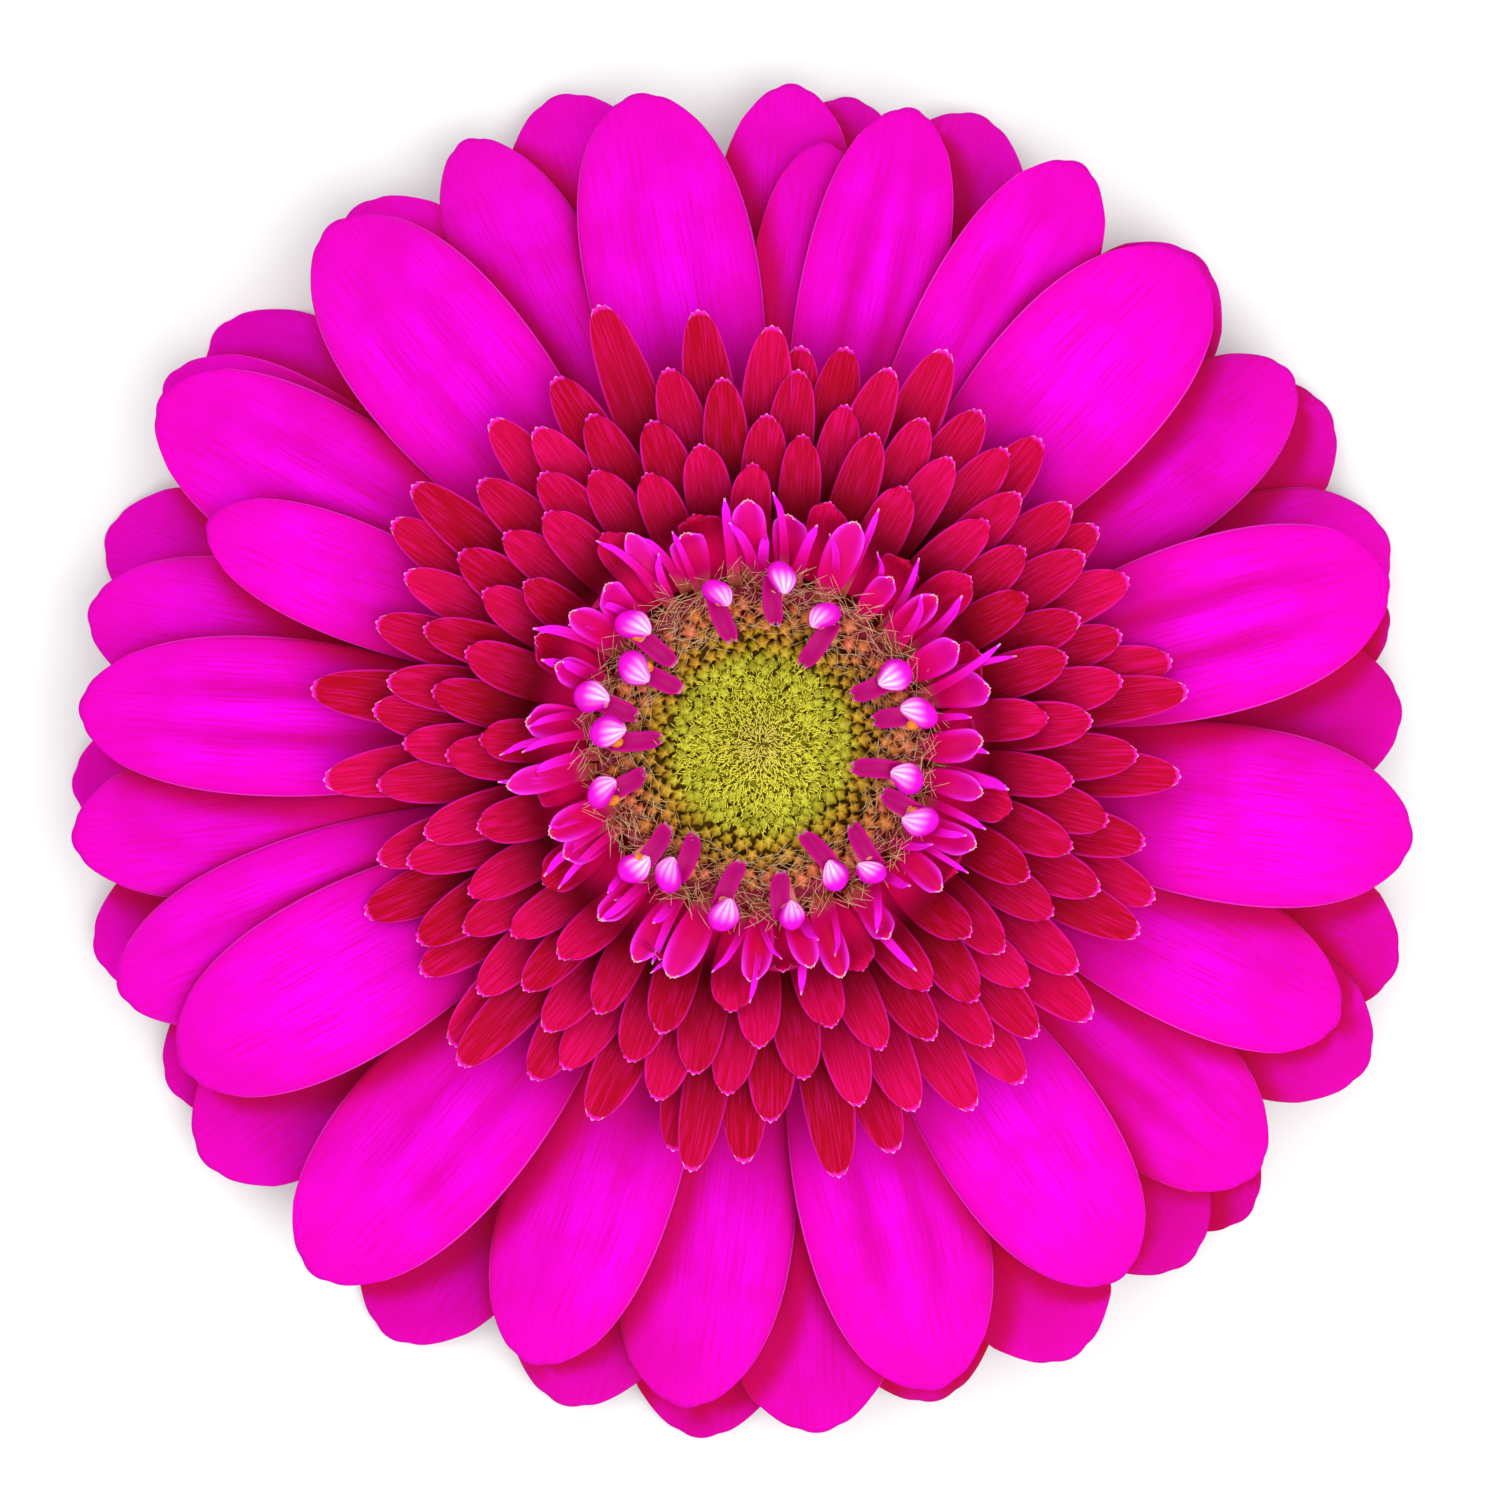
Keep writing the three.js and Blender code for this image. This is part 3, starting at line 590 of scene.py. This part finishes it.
def ray_florets(material):
    """One leaf for each CAD ray floret, with painted shade, close and broad, where others lie over it
    and, by a smooth step outwards, painted shade under the crimson crown."""
    names = sorted(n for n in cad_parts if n.startswith("ray_floret_"))
    rays = [read_ray(name) for name in names]
    start, end, most = CROWN_SHADE
    for name, ray in zip(names, rays):
        points, s, t, half, furrow = ray_points(ray)
        placed = turned(points, ray["bearing"])
        # Painted shade from the higher ray florets, close and broad, and from the crimson crown.
        close = covering(placed - AXIS, rays, ray["lift"], *CLOSE_SHADE)
        broad = covering(placed - AXIS, rays, ray["lift"], *BROAD_SHADE)
        reach = np.hypot(points[..., 0], points[..., 1])
        crowned = 1 - ease(reach, start, end)
        shade = 1 - (1 - close) * (1 - broad) * (1 - most * crowned)
        shape = leaf(placed, RAY_WALL, along=s, across_mm=t * half, edge=t, shade=shade,
                     furrow=0.8 * furrow)
        piece(name.replace("ray_floret", "ray"), [shape], material, [name])


# ---- Crimson florets ----

TRANS_ROWS, TRANS_COLUMNS = 24, 13
TRANS_WALL = 0.26
TRANS_WIDEST = 0.6  # where along its length a crimson floret is widest
COLLAR_RADIUS = 14.4


def trans_floret(k):
    """Floret k of the golden-angle spiral. Its rows lie closer towards the tip. Its strap rises as
    a quarter sine to the tip, its sides turn up into a gutter, and the tip closes as an ellipse to
    a blunt end with three small teeth. Longer florets lie lower, and the innermost curl back."""
    part = k / (TRANS_COUNT - 1)
    longer, wider, higher, sway, cupped, lifted, aside, lighter = rng.uniform(-1, 1, 8)
    reach = TRANS_SHORTEST + (TRANS_LONGEST - TRANS_SHORTEST) * part**0.75
    reach += EXTRA_REACH.get(k, 0.8 * longer)
    width = 3.5 + 0.95 * part + 0.25 * wider
    tip_height = INNER_TOP + TRANS_RISE * (1 - TRANS_FALL * part**0.8) + higher * 0.4
    base = OUTER_MIDDLE if k >= TRANS_COUNT / 2 else INNER_MIDDLE
    s = 1 - (1 - np.linspace(0, 1, TRANS_ROWS)[:, None]) ** 1.6
    t = np.linspace(-1, 1, TRANS_COLUMNS)[None, :]
    swell = 0.3 + 0.7 * np.sin(np.pi / 2 * np.clip(s / TRANS_WIDEST, 0, 1))
    past = np.clip((s - TRANS_WIDEST) / (1 - TRANS_WIDEST), 0, 1)
    half = width / 2 * swell * np.sqrt(1 - (past * 0.94) ** 2.4)
    x = TRANS_ROOT + (reach - TRANS_ROOT) * s - 0.5 * t**2 * s**8
    x = x + 0.07 * np.cos(3 * np.pi * t) * ease(s, 0.96, 1.0)
    y = t * half + sway * 0.9 * s**2
    z = base + (tip_height - base) * np.sin(np.pi / 2 * s)
    gutter = (0.5 + 0.4 * cupped) * (half / 2.2) ** 2 * t**2
    z = z + gutter + 0.05 * np.cos(4 * np.pi * t) * ease(s, 0.2, 0.6) + 0.8 * lifted * s**6
    curl = ease(1 - part, 0.85, 1.0) * ease(s, 0.5, 1.0)
    x = x - 2.0 * curl * s**2
    z = z + 0.9 * curl
    level = np.stack([x, y, z + 0 * t], axis=-1)
    points = turned(level, k * GOLDEN_ANGLE + aside * 0.03)
    far = np.hypot(x, y)
    teeth = np.exp(-((t / 0.16) ** 2)) + np.exp(-(((np.abs(t) - 0.85) / 0.2) ** 2))
    tooth = 0.9 * teeth * ease(s, 0.994, 1.0)
    # Each floret reads its veins from a strip of its own, 7 mm beside the last one's.
    return leaf(points, TRANS_WALL, along=s, across_mm=t * half + 7.0 * k, edge=t, tooth=tooth,
                far=far, tone=0.5 + 0.5 * lighter)


def plate(radius, low, high, **marks):
    """A plain round plate on the flower's axis."""
    profile = [(0, low), (radius, low), (radius, high), (0, high)]
    points, quads, values = lathe(profile, ROUND_SIDES, **marks)
    return points + AXIS, quads, values


def trans_crowns(material):
    """The two crowns of crimson florets, each on its collar: the outer half of the spiral on the
    lower one, and the inner half on the upper one."""
    half = round(TRANS_COUNT / 2)
    marks = {"along": 0.1, "across_mm": 0.0, "edge": 0.0, "tooth": 0.0, "far": 30.0, "tone": 0.0}
    rows = (("trans_outer", "trans_florets_outer", range(half, TRANS_COUNT), OUTER_MIDDLE),
            ("trans_inner", "trans_florets_inner", range(half), INNER_MIDDLE))
    for name, node, numbers, middle in rows:
        shapes = [trans_floret(k) for k in numbers]
        low, high = middle - COLLAR_HEIGHT / 2, middle + COLLAR_HEIGHT / 2
        shapes.append(plate(COLLAR_RADIUS, low, high, top=1.0, **marks))
        piece(name, shapes, material, [node])


# ---- Slender lips and open florets ----

THIN_LIPS = 54
BROAD_LIPS = 27
THIN_ROOT, BROAD_ROOT, TUBE_ROOT = 12.6, 12.9, 11.3  # axis to root
LIP_SINK = 0.2  # how deep a lip starts in its plate
LIP_PLATE_RADIUS = 13.4
THIN_WALL, BROAD_WALL, STRAP_WALL = 0.18, 0.2, 0.22
SPOON_WIDEST = 0.6  # where along its length a broad lip is widest


def thin_lip(k):
    """A thin inner lip: a strap under a millimetre wide that rises outwards as a quarter sine,
    sways to one side, and narrows to a point that curls back a little."""
    outer, longer, higher, sway, _, aside, curled, wider = rng.uniform(-1, 1, 8)
    s = 1 - (1 - np.linspace(0, 1, 18)[:, None]) ** 1.4
    t = np.linspace(-1, 1, 5)[None, :]
    curl = ease(s, 0.7, 1.0)
    x = THIN_ROOT + 1.5 * abs(outer) + (6.2 + 2.6 * longer) * s - (0.35 + 0.35 * curled) * curl
    rise = (5.0 + 1.2 * higher) * np.sin(np.pi / 2 * s)
    z = LIP_TOP - LIP_SINK + rise + 0.4 * curl * curled
    half = (0.46 + 0.14 * wider) * (1.15 - 0.6 * s) * np.sqrt(1 - 0.96 * ease(s, 0.8, 1.0))
    y = t * half + 2.6 * sway * s**1.8
    points = np.stack([x + 0 * t, y, z + 0.7 * half * t**2], axis=-1)
    pale = 0.5 * ease(s, 0.96, 1.0) + 0 * t
    bearing = (k + 0.8 * aside) / THIN_LIPS * 2 * math.pi
    return leaf(turned(points, bearing), THIN_WALL, along=s, pale=pale, ruby=0.0, red=0.0)


def broad_lip(k):
    """A broad outer lip: a spoon over two millimetres wide whose end closes as an ellipse with
    small pale teeth. It cups along its length, and its end rolls up. Its middle is crimson."""
    outer, longer, higher, sway, cupped, aside, rolled, wider = rng.uniform(-1, 1, 8)
    s = 1 - (1 - np.linspace(0, 1, 22)[:, None]) ** 1.5
    t = np.linspace(-1, 1, 11)[None, :]
    roll = ease(s, 0.6, 1.0)
    x = BROAD_ROOT + 0.8 * outer + (7.0 + 1.4 * longer) * s - (0.6 + 0.5 * rolled) * roll * s
    z = LIP_TOP - LIP_SINK + (4.3 + 0.9 * higher) * np.sin(np.pi / 2 * s) + 0.7 * roll
    swell = 0.35 + 0.65 * np.sin(np.pi / 2 * np.clip(s / SPOON_WIDEST, 0, 1))
    past = np.clip((s - SPOON_WIDEST) / (1 - SPOON_WIDEST), 0, 1)
    half = (1.3 + 0.25 * wider) * swell * np.sqrt(1 - (0.96 * past) ** 2.2)
    y = t * half + 0.8 * sway * s**2
    x = x + 0.07 * np.cos(3 * np.pi * t) * ease(s, 0.95, 1.0) - 0.3 * t**2 * s**6
    points = np.stack([x, y, z + (0.5 + 0.25 * cupped) * half * t**2], axis=-1)
    pale = 0.8 * ease(s, 0.985, 1.0) + 0.05 * t**8 * ease(s, 0.5, 0.9)
    red = (0.8 + 0.2 * cupped) * ease(s, 0.15, 0.5) * (1 - ease(np.abs(t), 0.45, 1.0))
    bearing = (k + 0.3 * aside) / BROAD_LIPS * 2 * math.pi
    return leaf(turned(points, bearing), BROAD_WALL, along=s, pale=pale, ruby=0.0, red=red)


def hood(mouth, height, turn, length):
    """An open floret's outer lip, folded over into a cowl with a blunt outer end and an inner tip
    where its teeth close. It is a lathe along the lip, widened sideways, whose radius is a
    lopsided sine arch with six grooves as a cosine, deeper to the tip. White streaks run up its
    crest from there. The cowl leans back at the middle of the disc, a little to one side."""
    sides = 24
    s = np.linspace(0, 1, 19)
    angle = np.linspace(0, 2 * np.pi, sides, endpoint=False)[None, :]
    radius = 0.41 * length * np.sin(np.pi * s**0.9) ** 0.6
    radius[0] = radius[-1] = 0.0
    down = s[:, None]
    groove = 1 - 0.22 * ease(down, 0.5, 0.95) * (0.5 - 0.5 * np.cos(6 * angle))
    streak = 0.5 + 0.5 * np.cos(12 * angle)
    crest = ease(np.cos(angle - rng.uniform(-0.6, 0.6)), 0.3, 0.95)
    pale = rng.uniform(0.6, 1.0) * crest * ease(down, 0.3, 0.8) * (0.2 + 0.75 * streak**2)
    tips = ease(down, 0.9, 1.0) * streak
    local, quads, values = lathe(list(zip(radius, s * length)), sides, groove, along=0.75,
                                 pale=np.maximum(pale, tips), ruby=0.25 * (1 - crest), red=0.0,
                                 top=1.0)
    lean = math.radians(14 + 8 * rng.uniform(-1, 1))
    back = np.array([-math.cos(lean), 0.35 * rng.uniform(-1, 1), math.sin(lean)])
    up = np.array([math.sin(lean), 0, math.cos(lean)])
    points = local[:, :1] * up * 0.75 + local[:, 1:2] * [0, 1.05, 0] + local[:, 2:] * back
    points = points + [mouth + length - 0.9, 0, height - 0.3]
    return turned(points, turn), quads, values


def inner_strap(mouth, height, turn):
    """An open floret's inner lip: a strap that points back at the middle, arches as a sine,
    droops, and splits in two at its end."""
    s = np.linspace(0, 1, 16)[:, None]
    t = np.linspace(-1, 1, 9)[None, :]
    longer, droop, sway, split = rng.uniform(-1, 1, 4)
    x = mouth + 0.6 - (4.2 + 0.5 * longer) * s
    z = height - 0.6 + 0.8 * np.sin(np.pi * 0.75 * s) - (0.9 + 0.3 * droop) * s**2
    half = 0.8 * (0.85 + 0.15 * np.sin(np.pi * s)) * np.sqrt(1 - 0.75 * ease(s, 0.8, 1.0))
    fork = np.exp(-((t / 0.3) ** 2)) * ease(s, 0.85, 1.0)
    y = -t * half + 0.9 * sway * s**2
    points = np.stack([x + (0.4 + 0.4 * split) * fork, y, z + 0.35 * t**2], axis=-1)
    pale = 0.35 * ease(s, 0.93, 1.0) + 0 * t
    ruby = 0.97 - 0.25 * np.abs(t) ** 3 - 0.4 * ease(s, 0.8, 1.0)
    return leaf(turned(points, turn), STRAP_WALL, along=0.5, pale=pale, ruby=ruby, red=0.0)


def open_florets(material):
    """The ring round the disc, on its plate: broad and thin lips, then for each open floret a
    hood, an inner strap, and a tube that widens from the disc's edge up to them."""
    shapes = [broad_lip(k) for k in range(BROAD_LIPS)] + [thin_lip(k) for k in range(THIN_LIPS)]
    for bearing, out in OPEN_FLORETS:
        turn = math.radians(bearing + rng.uniform(-1, 1))
        mouth = DISC_RADIUS + out
        height = LIP_TOP + OPEN_RISE
        shapes.append(hood(mouth, height, turn, rng.uniform(2.5, 3.2)))
        shapes.append(inner_strap(mouth, height, turn + rng.uniform(-0.06, 0.06)))
        path = np.array([[TUBE_ROOT, 0, LIP_TOP - 0.3], [TUBE_ROOT + 0.3, 0, LIP_TOP + 2],
                         [mouth, 0, height - 0.4]])
        body = tube(turned(path, turn), np.array([0.5, 0.6, 0.85]), 8, along=0.1, pale=0.1,
                    ruby=0.0, red=0.0, top=1.0)
        shapes.append(body)
    shapes.append(plate(LIP_PLATE_RADIUS, LIP_TOP - LIP_PLATE, LIP_TOP, along=0.0, pale=0.0,
                        ruby=0.6, red=0.6, top=1.0))
    piece("open_lips", shapes, material, ["open_florets"])


def anthers(material):
    """One column for each open floret, between its two lips."""
    shapes = []
    for bearing, out in OPEN_FLORETS:
        mouth = DISC_RADIUS + out
        top = LIP_TOP + OPEN_RISE
        turn = math.radians(bearing + rng.uniform(-3, 3))
        path = np.array([[mouth + 0.2, 0, top - 1], [mouth, 0, top], [mouth - 0.3, 0, top + 0.45]])
        shapes.append(tube(turned(path, turn), np.array([0.5, 0.5, 0.32]), 8))
    piece("anther_columns", shapes, material)


# ---- Disc ----

BUD_COUNT = 620
BUD_SPREAD = 0.9  # power of the spiral: above a half, buds are larger further out
BUD_REACH = DISC_RADIUS + 1.9  # the last buds lean out over the disc's edge
BUD_SIZE = 0.58  # of the spiral's spacing, so that neighbours just meet
DISC_SIDE, DISC_DOME = 0.8, 1.2
FUR_RADIUS = 7.0
FUR_COUNT, FUR_THICK = 4200, 0.08  # hairs over the middle, and their radius
DRY_RADIUS = 1.8  # hairs this near the axis turn a little tan
EDGE_COUNT, EDGE_THICK = 2300, 0.034  # hairs round the edge, and their radius
EDGE_FROM, EDGE_TO = 9.4, 14.4


def disc_height(radius):
    """A low dome over a short upright side: it falls as the square of the way to the edge."""
    return DISC_BASE + DISC_SIDE + DISC_DOME * (1 - (radius / DISC_RADIUS) ** 2)


def bud(k):
    """Bud k of the golden-angle spiral: a spindle of five scales that leans to the middle and
    closes to a point. Its radius is just over half the spiral's own spacing there."""
    share = ((k + 0.5) / BUD_COUNT) ** BUD_SPREAD
    radius = share * BUD_REACH
    crowd = BUD_COUNT / (2 * math.pi * BUD_SPREAD * BUD_REACH**2) * share ** (1 / BUD_SPREAD - 2)
    tint, outer, aside, larger, taller, twist = rng.uniform(-1, 1, 6)
    size = BUD_SIZE / math.sqrt(crowd) * (1 + 0.2 * larger)
    tall = (0.9 + 1.6 * share**2) * (1 + 0.25 * taller)
    profile = [(0, -0.5), (size * 0.86, -0.4), (size, tall * 0.38), (size * 0.66, tall * 0.74),
               (size * 0.28, tall * 0.96), (0, tall)]
    rise = np.array([0.0, 0.0, 0.45, 0.9, 1.0, 1.0])[:, None]
    scales = np.array([0.0, 0.0, 0.5, 1.0, 1.0, 0.0])[:, None] * np.tile([0.38, -0.38], 5)
    points, quads, values = lathe(profile, 10, 1 + scales, out=share, rise=rise, tint=abs(tint),
                                  top=1.0)
    lean = (0.5 - 0.35 * share) * np.maximum(points[:, 2:], 0)
    points = points - np.concatenate([lean, 0.5 * lean * twist, 0 * lean], axis=1)
    foot = disc_height(min(radius, DISC_RADIUS))
    points = points + [radius + outer * 0.25, aside * 0.22, foot]
    return turned(points, k * GOLDEN_ANGLE), quads, values


def disc(material):
    """The dome, and the buds from six tenths of the furry middle outwards: the spiral's power,
    turned round, gives the number of the first one."""
    radii = np.linspace(DISC_RADIUS, 0, 9)
    profile = [(0, DISC_BASE), (DISC_RADIUS, DISC_BASE), *((r, disc_height(r)) for r in radii)]
    furry = np.concatenate([[0, 0], 0.75 * (1 - ease(radii, 4.0, 6.0))])[:, None]
    dome = lathe(profile, ROUND_SIDES, out=0.3, rise=furry, tint=0.5, top=1.0)
    first = round(BUD_COUNT * (0.6 * FUR_RADIUS / BUD_REACH) ** (1 / BUD_SPREAD))
    shapes = [(dome[0] + AXIS, *dome[1:])] + [bud(k) for k in range(first, BUD_COUNT)]
    piece("disc_buds", shapes, material, ["disc"])


def bristle(radius, bearing, tall, lean, sweep, thick, out):
    """A hair: three sides on a path that rises as a sine and bows outwards and sideways. 'out' is
    0 over the disc's middle and 1 at its edge."""
    foot = disc_height(min(radius, DISC_RADIUS))
    share = np.array([0, 0.35, 0.7, 1.0])
    rise = foot + tall * np.sin(1.5 * share)
    path = np.stack([radius + lean * share**1.4, sweep * share**1.6, rise], axis=-1)
    return tube(turned(path, bearing), thick * np.array([1, 0.95, 0.7, 0.2]), 3, out=out, top=1.0)


def bristles(material):
    """Blunt tufts that lean outwards over the middle of the disc, drier near the axis, then a
    tangle of thin hairs round its edge."""
    shapes = []
    for _ in range(FUR_COUNT):
        radius = FUR_RADIUS * rng.random() ** 0.62
        lean, sweep = rng.uniform(-0.1, 0.75), rng.uniform(-0.45, 0.45)
        tall = rng.uniform(0.8, 1.2) * (1.25 - 0.3 * radius / FUR_RADIUS)
        turn = rng.uniform(0, 2 * math.pi)
        dry = 0.3 * math.exp(-((radius / DRY_RADIUS) ** 2))
        shapes.append(bristle(radius, turn, tall, lean, sweep, FUR_THICK, dry))
    for _ in range(EDGE_COUNT):
        radius = rng.uniform(EDGE_FROM, EDGE_TO)
        lean, sweep = rng.uniform(-1.6, 1.6), rng.uniform(-2.2, 2.2)
        tall = rng.uniform(1.4, 3.2)
        turn = rng.uniform(0, 2 * math.pi)
        shapes.append(bristle(radius, turn, tall, lean, sweep, EDGE_THICK, 1.0))
    piece("bristles", shapes, material)


# ---- Bracts and stem ----

BRACT_ROOT = 4.1  # axis to root
BRACT_WALL = 0.4
STEM_SIDES, STEM_RIBS = 72, 12
CUT_LIFT = 0.03  # keeps the cut face off the floor


def bract_row(name, node, count, turn, width, material):
    """A row of bracts: each rises as a quarter sine from the stem's top, swells and narrows to a
    point as a sine, has a shallow groove along its middle and turned-up sides. Every other one is
    a little shorter."""
    low, high = (np.array(corner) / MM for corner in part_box(node))
    reach = max(high[0] - low[0], high[1] - low[1]) / 2
    s = np.linspace(0, 1, 20)[:, None]
    t = np.linspace(-1, 1, 11)[None, :]
    shapes = []
    for k in range(count):
        x = BRACT_ROOT + (reach - BRACT_ROOT - 0.8 * (k % 2)) * s + 0 * t
        half = width / 2 * np.sin(np.pi * (0.18 + 0.8 * s)) ** 0.8
        z = low[2] + 0.25 + (high[2] - low[2] - 0.5) * np.sin(np.pi / 2 * s)
        z = z + 0.2 * t**2 - 0.12 * np.exp(-((t / 0.2) ** 2)) + 0.04 * (k % 3)
        bearing = (k + turn) / count * 2 * math.pi
        points = turned(np.stack([x, t * half, z], axis=-1), bearing)
        shapes.append(leaf(points, BRACT_WALL, along=s, edge=t))
    piece(name, shapes, material, [node])


def stem(material):
    """The stub of the scape: a profile turned about its axis, with shallow ribs round it as a
    cosine, and a cut face whose pith is hollow at its middle."""
    height = stub_high[2]
    radius = (stub_high[0] - stub_low[0]) / 2
    pith = [(0, 2.2), (1.0, 2.0), (1.2, 0.15), (1.35, CUT_LIFT), (radius * 0.9, CUT_LIFT)]
    skin = [(radius * 0.95, 0.2), (radius * 0.93, height * 0.6), (radius * 0.98, height), (0, height)]
    cut = np.repeat([1.0, 0.0], [len(pith), len(skin)])[:, None]
    angle = np.linspace(0, 2 * math.pi, STEM_SIDES, endpoint=False)
    ribs = 1 + 0.025 * np.cos(STEM_RIBS * angle)
    points, quads, values = lathe(pith + skin, STEM_SIDES, ribs, pith=cut)
    piece("stem", [(points + AXIS, quads, values)], material, ["stem_stub"])


# ---- Stage ----


def stage(material):
    """A square floor, three metres wide."""
    half = 1.5
    mesh = bpy.data.meshes.new("floor")
    corners = [(-half, -half, 0), (half, -half, 0), (half, half, 0), (-half, half, 0)]
    mesh.from_pydata(corners, [], [(0, 1, 2, 3)])
    mesh.materials.append(material)
    floor = bpy.data.objects.new("floor", mesh)
    bpy.context.scene.collection.objects.link(floor)


def area_light(name, place, size, power):
    """A round soft light at a place in metres, turned to the flower."""
    light = bpy.data.lights.new(name, "AREA")
    light.shape = "DISK"
    light.size = size
    light.energy = power
    lamp = bpy.data.objects.new(name, light)
    lamp.location = place
    lamp.rotation_euler = (-Vector(place)).to_track_quat("-Z", "Y").to_euler()
    bpy.context.scene.collection.objects.link(lamp)


def lights():
    """A large key light from the lower right, a weaker fill opposite, and an even white sky."""
    area_light("key", (0.3, -0.3, 0.85), 0.9, 5.4)
    area_light("fill", (-0.6, 0.5, 0.9), 1.0, 3)
    world = bpy.data.worlds.new("studio")
    world.use_nodes = True
    world.node_tree.nodes.clear()
    sky = add(world.node_tree, "Background", Color="ffffff", Strength=0.8)
    add(world.node_tree, "OutputWorld", Surface=sky)
    bpy.context.scene.world = world


def camera():
    """Straight above the head. The view is 126.8 mm wide at the petals, and the flower's axis
    lies 0.85 mm right of its centre and 0.42 mm above it."""
    lens, sensor, width, plane = 135.0, 36.0, 126.8, 14.0
    cam = bpy.data.cameras.new("camera")
    cam.lens = lens
    cam.sensor_width = sensor
    cam.clip_start = 0.05
    cam.clip_end = 5
    view = bpy.data.objects.new("camera", cam)
    view.location = np.array([AXIS[0] - 0.85, AXIS[1] - 0.42, plane + width * lens / sensor]) * MM
    bpy.context.scene.collection.objects.link(view)
    bpy.context.scene.camera = view


camera()
lights()
stage(white_card())
ray_florets(ray_petal())
trans_crowns(trans_petal())
open_florets(lip_petal())
anthers(anther())
disc(disc_bud())
bristles(fine_bristle())
bract = green_bract()
bract_row("bracts_inner", "inner_bracts", count=21, turn=0, width=3.8, material=bract)
bract_row("bracts_outer", "outer_bracts", count=13, turn=0.5, width=5.2, material=bract)
stem(green_stem())

# The receptacle keeps its CAD shape.
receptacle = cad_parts["receptacle"].data
receptacle.materials.clear()
receptacle.materials.append(green_receptacle())

bpy.context.scene.view_settings.view_transform = "Standard"
bpy.context.view_layer.update()
